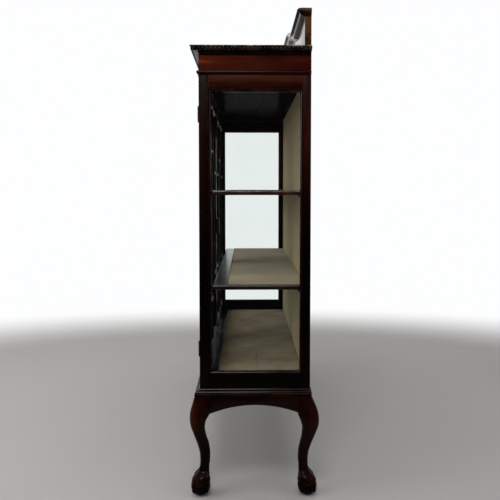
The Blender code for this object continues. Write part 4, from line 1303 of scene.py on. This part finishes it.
def beadSection():
    # into the opening, and away from the glass
    wide, deep, core = postForm["bead"], postForm["beadDeep"], postForm["beadCore"]
    stepIn, stepUp = postForm["beadStep"]
    section = [(0.0, fit), (wide - stepIn, fit), (wide, fit + stepUp)]
    section += arc((core, fit + core), (wide - core, deep - core), 4, 86, 9)
    return section + [(0.0, deep + fit)]


def addBead(shape, low, high, glassX, way):
    # a mitred bead round an opening in the end, on one side of its glass
    rows = []
    for into, away in beadSection():
        y0, y1 = low[0] + into, high[0] - into
        z0, z1 = low[1] + into, high[1] - into
        rows.append([(glassX + way * away, y, z) for y, z in ((y0, z0), (y1, z0), (y1, z1), (y0, z1))])
    addLoft(shape, rows, closed=True, ring=True)


def makeEndFrames():
    for end, side in (("left", -1), ("right", 1)):
        for level in ("top", "bottom"):
            boardPiece(f"end_{level}_rail_{end}", "endRailWood", "carcase")
        glassLow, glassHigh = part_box(f"end_glass_{end}")
        low = (glassLow.y - fit, glassLow.z - fit)
        high = (glassHigh.y + fit, glassHigh.z + fit)
        inner, outer = sorted((abs(glassLow.x), abs(glassHigh.x)))
        shape = newShape()
        addBead(shape, low, high, side * outer, side)
        addBead(shape, low, high, side * inner, -side)
        finishPiece(shape, f"end_glazing_bead_{end}", "beadWood", "carcase")
        dressNode(f"end_glass_{end}", "glass")


backForm = {
    "boards": 8,
    "ease": 0.0016,
    "gap": 0.0001,
    "screwIn": 0.012,  # screws in from the top and foot of each board
    "screwShares": (0.2, 0.8),  # and across it
    "merge": 0.00001,
    "toneSpan": 9.0,  # how far the grain may differ from board to board
    "seed": 5,
}


def boardTree():
    inputs = (
        ("Boards", "Int"), ("Width", "Float"), ("Gap", "Float"), ("Thickness", "Float"), ("Height", "Float"),
        ("Ease", "Float"), ("Merge", "Float"), ("Tones", "Float"), ("Seed", "Int"), ("Start", "Vector"),
        ("Finish", "Material"),
    )
    tree, wire = newTree("backBoards", inputs)
    across = wire.node("ShaderNodeCombineXYZ", {}, {0: wire.also("Width")})
    spots = wire.node("GeometryNodeMeshLine", {}, {
        "Count": wire.also("Boards"), "Start Location": wire.also("Start"), "Offset": across})
    outline = wire.node("GeometryNodeCurvePrimitiveQuadrilateral", {}, {
        "Width": wire.also("Width") - wire.also("Gap"), "Height": wire.also("Thickness")})
    eased = wire.node("GeometryNodeFilletCurve", {}, {0: outline, "Radius": wire.also("Ease")})
    foot = wire.node("GeometryNodeFillCurve", {}, {0: eased})
    up = wire.node("ShaderNodeCombineXYZ", {}, {2: wire.also("Height")})
    raised = wire.node("GeometryNodeExtrudeMesh", {}, {0: foot, "Offset": up, "Individual": False})
    under = wire.node("GeometryNodeFlipFaces", {}, {0: foot})
    joined = wire.node("GeometryNodeJoinGeometry", {}, {0: raised})
    wire.tree.links.new(under.socket, joined.socket.node.inputs[0])
    whole = wire.node("GeometryNodeMergeByDistance", {}, {0: joined, "Distance": wire.also("Merge")})
    many = wire.node("GeometryNodeInstanceOnPoints", {}, {0: spots, "Instance": whole})
    chance = wire.node("FunctionNodeRandomValue", {}, {3: wire.also("Tones"), "Seed": wire.also("Seed")}, 1)
    named = wire.node("GeometryNodeStoreNamedAttribute", {"domain": "INSTANCE"}, {
        0: many, "Name": "plank", "Value": chance})
    closeTree(wire, named)
    return tree


def pointMesh(name, spots, facings=()):
    mesh = bpy.data.meshes.new(name)
    mesh.from_pydata(spots, [], [])
    if facings:
        facing = mesh.attributes.new("facing", "FLOAT_VECTOR", "POINT")
        for item, way in zip(facing.data, facings):
            item.vector = way
    return mesh


def makeBack():
    low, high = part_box("back_panel")
    width = (high.x - low.x) / backForm["boards"]
    values = {
        "Boards": backForm["boards"], "Width": width, "Gap": backForm["gap"], "Ease": backForm["ease"],
        "Thickness": high.y - low.y, "Height": high.z - low.z, "Merge": backForm["merge"],
        "Tones": backForm["toneSpan"], "Seed": backForm["seed"],
        "Start": (low.x + width / 2, (low.y + high.y) / 2, low.z), "Finish": finishes["backWood"],
    }
    piece = grow("back_panel_boards", boardTree(), pointMesh("backGuide", [(0, 0, 0)]), values)
    settle(piece, "carcase", ["back_panel"])
    for number in range(backForm["boards"]):
        for share in backForm["screwShares"]:
            for height in (low.z + backForm["screwIn"], high.z - backForm["screwIn"]):
                place = (low.x + (number + share) * width, high.y, height)
                screwSpots["carcase"].append((place, (0, 1, 0)))
    dressNode("ceiling_board", "ceilingWood")


makePosts()
makeEndFrames()
makeBack()
print("posts, end frames and back are set")


# shelves

shelfForm = {
    "ease": 0.0048,
    "steps": 5,  # in the rounding of an edge
    "thinner": 0.0025,  # than the solid, at the top
    "wear": (-0.5, 0, 1.3),  # of the lower edge, the side and the upper edge, at the ends: below 0 paints shade, and the upper edge's pale worn tone paints a highlight
    "longShade": -0.9,  # painted shade along the front and back
    "endTurn": 0.2,  # faces that turn further to the ends keep their wear
    "flatTurn": 0.99,  # and so does the top
    "clothIn": 0.006,  # cloth stops short of each end
}


def notched(reach, near, far):
    # cut out round the back posts
    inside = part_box("back_lining")[1].x
    shoulder = back - postForm["deep"]["back"] - fit
    right = [(reach, near), (reach, shoulder), (inside, shoulder), (inside, far)]
    return right + [(-across, along) for across, along in reversed(right)]


def makeShelves():
    form = shelfForm
    for level in ("lower", "upper"):
        node = f"shelf_{level}"
        low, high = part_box(node)
        shape = newShape()

        def toPlace(across, along, deep):
            return Vector((across, along, low.z + deep))

        thickness = high.z - low.z - form["thinner"]
        outline = notched(high.x, low.y, high.y)
        addSlab(shape, outline, thickness, toPlace, form["ease"], form["steps"], form["wear"])
        shape.normal_update()
        rub = shape.faces.layers.float["rub"]
        for face in shape.faces:
            if abs(face.normal.x) < form["endTurn"] and face.normal.z < form["flatTurn"]:
                face[rub] = form["longShade"]
        finishPiece(shape, f"{node}_board", "shelfWood", "carcase", [node])


makeShelves()
print("shelves are laid on their pegs")


# lining cloth

clothForm = {
    "thick": 0.0009,
    "cell": 0.010,
    "floorIn": 0.018,  # bare strip behind the doors
    "floorWave": (0.0016, 0.05),  # height of the waves, and how far in from the edges they start
    "backWave": (0.0009, 0.06),
    "shelfWave": (0.0008, 0.04),
    "notchPlay": 0.004,
    "sharp": 60,
}


def rippled(across, along, toEdge, wave):
    # slow waves of cloth that was laid by hand, flat along its glued edges
    tall, margin = wave
    slow = math.sin(across * 9.1 + 1.7 * math.sin(along * 11.0)) * math.sin(along * 17.0 + across * 3.3)
    quick = math.sin(across * 31.0 + along * 22.0) * math.sin(across * 12.0 - along * 41.0)
    return tall * (0.5 + 0.34 * slow + 0.16 * quick) * min(1.0, max(0.0, toEdge / margin))


def sheetMesh(name, width, length, pointAt, keep=None):
    # a grid of cells with the weave's own UV map; keep tells which points stay
    columns = max(2, round(width / clothForm["cell"]))
    rows = max(2, round(length / clothForm["cell"]))
    shape = bmesh.new()
    weave = shape.loops.layers.uv.new("weave")
    grid = []
    for column in range(columns + 1):
        grid.append([])
        for row in range(rows + 1):
            spot = (width * column / columns, length * row / rows)
            grid[-1].append((shape.verts.new(pointAt(*spot)), spot))
    for column in range(columns):
        for row in range(rows):
            here, onward = grid[column], grid[column + 1]
            ring = [here[row], onward[row], onward[row + 1], here[row + 1]]
            if keep and not all(keep(*spot) for _, spot in ring):
                continue
            face = shape.faces.new([point for point, _ in ring])
            for loop, (_, spot) in zip(face.loops, ring):
                loop[weave].uv = (spot[0] - width / 2, spot[1])
    loose = [point for point in shape.verts if not point.link_faces]
    bmesh.ops.delete(shape, geom=loose, context="VERTS")
    mesh = bpy.data.meshes.new(name)
    shape.to_mesh(mesh)
    shape.free()
    return mesh


def makeSheet(name, mesh, finish, node):
    mesh.materials.append(finishes[finish])
    holder = bpy.data.objects.new(f"{name}Guide", mesh)
    scene.collection.objects.link(holder)
    wall = holder.modifiers.new("thickness", "SOLIDIFY")
    wall.thickness = clothForm["thick"]
    wall.offset = -1
    bpy.context.view_layer.update()
    evaluated = holder.evaluated_get(bpy.context.evaluated_depsgraph_get())
    solid = bpy.data.meshes.new_from_object(evaluated)
    solid.name = name
    bpy.data.objects.remove(holder)
    solid.shade_smooth()
    solid.set_sharp_from_angle(angle=math.radians(clothForm["sharp"]))
    piece = bpy.data.objects.new(name, solid)
    scene.collection.objects.link(piece)
    settle(piece, "carcase", [node])


def makeFloorCloth():
    low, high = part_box("floor_lining")
    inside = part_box("back_lining")[1].x
    near = low.y + clothForm["floorIn"]
    width, deep = 2 * inside, high.y - near

    def pointAt(across, along):
        toEdge = min(across, width - across, along, deep - along)
        lift = rippled(across, along, toEdge, clothForm["floorWave"])
        return Vector((across - inside, near + along, low.z + clothForm["thick"] + lift))

    mesh = sheetMesh("floor_cloth", width, deep, pointAt)
    makeSheet("floor_cloth", mesh, "floorCloth", "floor_lining")


def makeBackCloth():
    low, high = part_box("back_lining")
    inside = high.x
    width, tall = 2 * inside, high.z - low.z

    def pointAt(across, along):
        toEdge = min(across, width - across, along, tall - along)
        lift = rippled(across, along, toEdge, clothForm["backWave"])
        return Vector((across - inside, high.y - clothForm["thick"] - lift, low.z + along))

    mesh = sheetMesh("back_cloth", width, tall, pointAt)
    makeSheet("back_cloth", mesh, "backCloth", "back_lining")


def makeShelfCloth(level):
    low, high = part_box(f"shelf_lining_{level}")
    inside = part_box("back_lining")[1].x
    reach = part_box(f"shelf_{level}")[1].x - shelfForm["clothIn"]
    width, deep = 2 * reach, high.y - low.y
    shoulder = back - postForm["deep"]["back"] - fit
    foot = low.z - shelfForm["thinner"]

    def pointAt(across, along):
        toEdge = min(across, width - across, along)
        lift = rippled(across, along, toEdge, clothForm["shelfWave"])
        return Vector((across - reach, low.y + along, foot + clothForm["thick"] + lift))

    def keep(across, along):
        return abs(across - reach) <= inside or low.y + along <= shoulder + clothForm["notchPlay"]

    name = f"shelf_cloth_{level}"
    mesh = sheetMesh(name, width, deep, pointAt, keep)
    makeSheet(name, mesh, "cloth", f"shelf_lining_{level}")


makeFloorCloth()
makeBackCloth()
for shelfLevel in ("lower", "upper"):
    makeShelfCloth(shelfLevel)
print("linings are laid")


# doors

doorForm = {
    "ease": 0.0013,
    "bar": 0.014,
    "barThick": 0.010,
    "barRound": (0.72, 0.0042),  # half width of its rounded face as a share, and height
    "barSteps": (  # share aside, behind the front
        (0.72, 0.0052), (0.78, 0.0058), (1.0, 0.0060), (1.0, 0.0070),
    ),
    "barBack": 0.98,
    "fillet": 0.0026,  # half width of the fillet behind the glass
    "filletEdge": (0.8, 0.0006),  # share of that width left, and depth of the slope
    "putty": 0.0062,
    "filletProud": 0.0020,  # past the inside of the door frame
    "octagon": (0.250, 0.520, 0.070),  # width, height, corner
    "sharp": 34,
}


def paneOutlines(halfWide, halfTall):
    # nine panes, counter-clockwise: a tall octagon, four beside it and four at the corners
    wide, tall, corner = doorForm["octagon"]
    side, top = wide / 2, tall / 2
    shortSide, shortTop = side - corner, top - corner
    quarter = [(side, shortTop), (shortSide, top)]
    octagon = quarter + [(-x, z) for x, z in reversed(quarter)]
    octagon += [(-x, -z) for x, z in octagon[:4]]
    panes = [octagon]
    cornerPane = quarter[::-1] + [(halfWide, shortTop), (halfWide, halfTall), (shortSide, halfTall)]
    for flipX, flipZ in ((1, 1), (-1, 1), (-1, -1), (1, -1)):
        turned = [(flipX * x, flipZ * z) for x, z in cornerPane]
        panes.append(turned if flipX * flipZ > 0 else turned[::-1])
    for flip in (1, -1):
        upright = [(side, -shortTop), (halfWide, -shortTop), (halfWide, shortTop), (side, shortTop)]
        level = [(-shortSide, top), (shortSide, top), (shortSide, halfTall), (-shortSide, halfTall)]
        panes.append([(flip * x, flip * z) for x, z in upright])
        panes.append([(flip * x, flip * z) for x, z in level])
    return panes


def barSection():
    # from the middle line of a bar to its side and back again, as (aside, behind the bar's front)
    wide, thick = doorForm["bar"] / 2, doorForm["barThick"]
    share, tall = doorForm["barRound"]
    section = [(0.0, 0.0)] + arc((0.0, tall), (wide * share, tall), -80, -4, 8)
    section += [(wide * aside, behind) for aside, behind in doorForm["barSteps"]]
    return section + [(wide * doorForm["barBack"], thick), (0.0, thick)]


def filletSection(start, stop):
    # the thin fillet and putty behind the glass
    wide = doorForm["fillet"]
    share, slope = doorForm["filletEdge"]
    return [(0.0, start), (doorForm["putty"], start), (wide, stop - slope), (wide * share, stop), (0.0, stop)]


def addBars(shape, pane, section, start, middle):
    rows = []
    for aside, deep in section:
        loop = insetLoop(pane, aside) if aside else [Vector(point) for point in pane]
        rows.append([Vector((middle.x + p.x, start + deep, middle.z + p.y)) for p in loop])
    addLoft(shape, rows, closed=False, ring=True)
    shape.faces.ensure_lookup_table()
    bmesh.ops.delete(shape, geom=shape.faces[-2:], context="FACES_ONLY")


def closeRim(shape):
    # walls between the open front and back edges, against the door frame
    bmesh.ops.remove_doubles(shape, verts=shape.verts, dist=sameSpot)
    rim = [edge for edge in shape.edges if edge.is_boundary]
    spots = {tuple(round(part, 5) for part in point.co): point for edge in rim for point in edge.verts}
    levels = sorted({spot[1] for spot in spots})
    for near, far in zip(levels[::2], levels[1::2]):
        for edge in rim:
            first, second = edge.verts
            if round(first.co.y, 5) == near:
                behind = [spots[round(point.co.x, 5), far, round(point.co.z, 5)] for point in (second, first)]
                shape.faces.new((first, second, *behind))


def makeBars(side):
    node = f"{side}_door_glazing_bars"
    low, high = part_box(node)
    middle = (low + high) / 2
    glass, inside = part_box(f"{side}_door_glass")[1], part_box(f"{side}_door_top_rail")[1]
    shape = newShape()
    fillet = filletSection(glass.y + fit - low.y, inside.y + doorForm["filletProud"] - low.y)
    for pane in paneOutlines((high.x - low.x) / 2, (high.z - low.z) / 2):
        addBars(shape, pane, barSection(), low.y, middle)
        addBars(shape, pane, fillet, low.y, middle)
    closeRim(shape)
    name, sharp = f"{side}_door_astragals", doorForm["sharp"]
    finishPiece(shape, name, "barWood", f"{side}_door", [node], sharp)


def makeDoors():
    for side in ("left", "right"):
        body = f"{side}_door"
        for name in ("hinge_stile", "meeting_stile"):
            boardPiece(f"{body}_{name}", "postWood", body, doorForm["ease"])
        for name in ("top_rail", "bottom_rail"):
            boardPiece(f"{body}_{name}", "railWood", body, doorForm["ease"])
        makeBars(side)
        dressNode(f"{body}_glass", "glass")


makeDoors()
print("doors are framed and barred")


# hinges

hingeForm = {
    "knuckle": 0.0021,
    "leaf": 0.0012,
    "play": 0.0002,
    "middle": 0.0174,  # height of the door leaf's barrel
    "ease": 0.0003,
    "finial": 0.0032,
    "ends": ((0.0, 0.75), (0.0004, 0.97), (0.0009, 1.0)),  # in from the end of a barrel, share of its radius
    "tipFoot": (0.0003, 0.5),
    "tip": ((0.3, 0.55), (0.55, 0.9), (0.8, 0.75), (1.0, 0.2)),  # share of the finial, share of the radius
    "sides": 28,
    "screws": (0.32, 0.66, 0.32),  # from the foot up, as shares of the leaf's width
    "screwFoot": 0.6,  # below the first and above the last, as a share of the space between two
}


def addBarrel(shape, axis, low, high, tipWay=0):
    radius, tall = hingeForm["knuckle"], hingeForm["finial"]
    profile = [(low + into, radius * share) for into, share in hingeForm["ends"]]
    profile += [(high - into, radius * share) for into, share in reversed(hingeForm["ends"])]
    tip = [hingeForm["tipFoot"]] + [(tall * up, share) for up, share in hingeForm["tip"]]
    if tipWay > 0:
        profile += [(high + up, radius * share) for up, share in tip]
    if tipWay < 0:
        profile = [(low - up, radius * share) for up, share in reversed(tip)] + profile
    addTurned(shape, profile, (*axis, 0), (0, 0, 1), hingeForm["sides"])


def makeLeaf(name, body, way, toPost):
    low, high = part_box(name)
    axis = ((low.x + high.x) / 2, low.y + (high.x - low.x) / 2)
    start = axis[0] + way * hingeForm["play"]
    x = sorted((start, start + way * hingeForm["leaf"]))
    third = (high.z - low.z - hingeForm["middle"]) / 2
    tip = hingeForm["finial"]
    spans = [(low.z + third, high.z - third, 0)]
    if toPost:
        spans = [(low.z + tip, low.z + third - fit, -1), (high.z - third + fit, high.z - tip, 1)]
    shape = newShape()
    addBoard(shape, (x[0], front - fit, low.z + tip), (x[1], high.y, high.z - tip), hingeForm["ease"])
    for foot, head, tipWay in spans:
        addBarrel(shape, axis, foot, head, tipWay)
        addBoard(shape, (x[0], axis[1], foot), (x[1], front, head), hingeForm["ease"])
    finishPiece(shape, f"{name}_cast", "bronze", body, [name])
    spaces = len(hingeForm["screws"]) - 1 + 2 * hingeForm["screwFoot"]
    for number, share in enumerate(hingeForm["screws"]):
        height = low.z + (high.z - low.z) * (number + hingeForm["screwFoot"]) / spaces
        place = (start, front + (high.y - front) * share, height)
        screwSpots[body].append((place, (-way, 0, 0)))


def makeHinges():
    for end, side in (("left", -1), ("right", 1)):
        for level in ("lower", "upper"):
            makeLeaf(f"hinge_{level}_{end}_post_leaf", "carcase", side, True)
            makeLeaf(f"hinge_{level}_{end}_door_leaf", f"{end}_door", -side, False)


# lock, key and bolt

lockForm = {
    "oval": (0.010, 0.017),  # half width and half height of the escutcheon
    "edge": ((0.0, 0.0006), (0.0003, 0.0002), (0.0008, 0.0)),  # in from the oval, behind its face
    "rim": ((0.0016, 0.0001), (0.0019, 0.0005)),  # likewise, where the rim falls to the plate
    "keyhole": (0.0027, 0.0017, 0.0088),  # round part, half slot, reach of the slot
    "slotFrom": -0.3,  # sine of the angle below which the slot is
    "sides": 96,
    "cover": 0.0008,
    "coverIn": 0.0016,
    "coverEase": 0.0003,
    "boltEase": 0.0007,
    "screwIn": 0.0058,
}
keyForm = {
    "bow": 0.0072,
    "wire": 0.0018,
    "flatter": 0.14,  # how much the ring's wire gives way above and below
    "stem": 0.0022,
    "collar": ((-0.001, 0.6), (0.0, 0.9), (0.0008, 0.98), (0.0010, 1.0)),  # from the ring, share of the stem
    "tip": ((0.0006, 1.0), (0.0, 0.7)),  # back from the end, share of the stem
    "bit": 0.0075,
    "bitLong": 0.0089,
    "bitThick": 0.0022,
    "bitIn": 0.0004,  # from the tip of the stem
    "shoulder": 0.6,  # of the bit, above the wards
    "bitEase": 0.0003,
    "wards": (0, 2, 4),  # which fifths of the bit stand
    "wardLap": 0.0006,
    "wardEase": 0.0002,
    "sides": 28,
}


def keyholeReach(angle):
    # from the middle of the round part to the edge of the keyhole
    radius, slot, reach = lockForm["keyhole"]
    across, up = abs(math.cos(angle)), math.sin(angle)
    if up > lockForm["slotFrom"]:
        return radius
    return max(radius, min(slot / max(across, 0.0001), -reach / up))


def makeEscutcheon():
    low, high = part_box("escutcheon")
    middle = (low + high) / 2
    steps = [2 * math.pi * step / lockForm["sides"] for step in range(lockForm["sides"])]
    levels = [(inset, low.y + behind) for inset, behind in lockForm["edge"] + lockForm["rim"]]
    plate = levels[-1][1]
    rows = []
    for inset, deep in [(0.0, high.y)] + levels:
        wide, tall = (reach - inset for reach in lockForm["oval"])
        rows.append([(middle.x + wide * math.cos(a), deep, middle.z + tall * math.sin(a)) for a in steps])
    for deep in (plate, high.y):
        holes = [(keyholeReach(a), a) for a in steps]
        rows.append([(middle.x + r * math.cos(a), deep, middle.z + r * math.sin(a)) for r, a in holes])
    shape = newShape()
    addLoft(shape, rows, closed=True, ring=True)
    finishPiece(shape, "escutcheon_rimmed", "brass", "right_door", ["escutcheon"])


def addRing(shape, centre, radius, wire, steps=48, sides=16):
    # a ring in the plane of the key's length and height, thicker fore and aft
    rows = []
    for step in range(steps):
        angle = 2 * math.pi * step / steps
        out = Vector((0, math.cos(angle), math.sin(angle)))
        thick = wire * (1 - keyForm["flatter"] + keyForm["flatter"] * math.cos(2 * angle))
        turns = [2 * math.pi * turn / sides for turn in range(sides)]
        rows.append([
            centre + out * (radius + thick * math.cos(turn)) + Vector((thick * math.sin(turn), 0, 0))
            for turn in turns])
    addLoft(shape, rows, closed=True, ring=True)


def makeKey():
    low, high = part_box("key")
    form = keyForm
    middle = (low + high) / 2
    x, z = middle.x, middle.z
    bow = low.y + form["bow"] + form["wire"]
    stem, start = form["stem"], bow + form["bow"]
    shape = newShape()
    addRing(shape, Vector((x, bow, z)), form["bow"], form["wire"])
    profile = [(start + along, stem * share) for along, share in form["collar"]]
    profile += [(high.y - behind, stem * share) for behind, share in form["tip"]]
    addTurned(shape, profile, (x, 0, z), (0, 1, 0), form["sides"])
    bitFrom, thin = high.y - form["bitIn"] - form["bitLong"], form["bitThick"] / 2
    shoulder = z - form["bit"] * form["shoulder"]
    bitHigh = (x + thin, bitFrom + form["bitLong"], z - stem * 0.5)
    addBoard(shape, (x - thin, bitFrom, shoulder), bitHigh, form["bitEase"])
    ward = form["bitLong"] / 5
    for number in form["wards"]:
        near = bitFrom + ward * number
        wardHigh = (x + thin, near + ward, shoulder + form["wardLap"])
        addBoard(shape, (x - thin, near, z - form["bit"]), wardHigh, form["wardEase"])
    finishPiece(shape, "key_wrought", "steel", "key", ["key"])


def makeLock():
    low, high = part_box("lock_case")
    inset = lockForm["coverIn"]
    shape = newShape()
    outside = high.y + lockForm["cover"]
    foot, head = (low.x + inset, high.y, low.z + inset), (high.x - inset, outside, high.z - inset)
    addBoard(shape, foot, head, lockForm["coverEase"])
    finishPiece(shape, "lock_cover", "bronze", "right_door")
    dressNode("lock_case", "bronze")
    inset = lockForm["screwIn"]
    for across in (low.x + inset, high.x - inset):
        for height in (low.z + inset, high.z - inset):
            screwSpots["right_door"].append(((across, outside, height), (0, 1, 0)))
    boardPiece("lock_bolt", "steel", "lock_bolt", lockForm["boltEase"])


boltForm = {
    "thick": 0.005,
    "knob": 0.0045,
    "knobUp": 0.009,
    "knobFoot": (-0.0004, 0.6),  # in the slide, share of its radius
    "knobLine": (  # share of its reach, share of its radius
        (0.3, 0.5), (0.5, 0.85), (0.75, 1.0), (0.93, 0.8), (1.0, 0.3),
    ),
    "ease": 0.0007,
    "sides": 28,
}


def makeFlushBolt():
    low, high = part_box("flush_bolt")
    slide, knob = low.y + boltForm["thick"], boltForm["knob"]
    reach = high.y - slide
    shape = newShape()
    addBoard(shape, low, (high.x, slide, high.z), boltForm["ease"])
    foot, footShare = boltForm["knobFoot"]
    profile = [(slide + foot, knob * footShare)]
    profile += [(slide + reach * out, knob * share) for out, share in boltForm["knobLine"]]
    middle = ((low.x + high.x) / 2, 0, low.z + boltForm["knobUp"])
    addTurned(shape, profile, middle, (0, 1, 0), boltForm["sides"])
    finishPiece(shape, "flush_bolt_drawn", "brass", "flush_bolt", ["flush_bolt"])
    dressNode("bolt_guide", "brass")


# screw heads

screwForm = {
    "radius": 0.0023,
    "dome": 0.0007,
    "slot": 0.0005,
    "sides": 14,
    "rings": 6,
    "seed": 3,
}


def screwTree():
    inputs = (
        ("Radius", "Float"), ("Dome", "Float"), ("Slot", "Float"), ("Seed", "Int"), ("Finish", "Material"))
    tree, wire = newTree("screwHeads", inputs)
    ball = wire.node("GeometryNodeMeshUVSphere", {}, {
        "Segments": screwForm["sides"], "Rings": screwForm["rings"], "Radius": 1.0})
    radius, dome = wire.also("Radius"), wire.also("Dome")
    size = wire.node("ShaderNodeCombineXYZ", {}, {0: radius, 1: radius, 2: dome})
    head = wire.node("GeometryNodeTransform", {}, {0: ball, "Scale": size})
    slotSize = wire.node("ShaderNodeCombineXYZ", {}, {0: radius * 3, 1: wire.also("Slot"), 2: dome})
    slotUp = wire.node("ShaderNodeCombineXYZ", {}, {2: dome * 0.9})
    bar = wire.node("GeometryNodeMeshCube", {}, {"Size": slotSize})
    moved = wire.node("GeometryNodeTransform", {}, {0: bar, "Translation": slotUp})
    cut = wire.node("GeometryNodeMeshBoolean", {"operation": "DIFFERENCE"}, {"Mesh 1": head, "Mesh 2": moved})
    facing = wire.node("GeometryNodeInputNamedAttribute", {"data_type": "FLOAT_VECTOR"}, {"Name": "facing"})
    turn = wire.node("FunctionNodeAlignRotationToVector", {"axis": "Z"}, {"Vector": facing})
    many = wire.node("GeometryNodeInstanceOnPoints", {}, {0: wire, "Instance": cut, "Rotation": turn})
    chance = wire.node("FunctionNodeRandomValue", {}, {3: math.pi, "Seed": wire.also("Seed")}, 1)
    spin = wire.node("ShaderNodeCombineXYZ", {}, {2: chance})
    spun = wire.node("GeometryNodeRotateInstances", {}, {0: many, "Rotation": spin})
    closeTree(wire, spun)
    return tree


def makeScrews():
    tree = screwTree()
    for body, spots in screwSpots.items():
        guide = pointMesh(f"{body}ScrewGuide", [place for place, _ in spots], [way for _, way in spots])
        values = {
            "Radius": screwForm["radius"], "Dome": screwForm["dome"], "Slot": screwForm["slot"],
            "Seed": screwForm["seed"], "Finish": finishes["bronze"],
        }
        settle(grow(f"{body}_screws", tree, guide, values), body)


makeHinges()
makeEscutcheon()
makeKey()
makeLock()
makeFlushBolt()
makeScrews()
print("hinges, lock, key, bolt and screws are fitted")
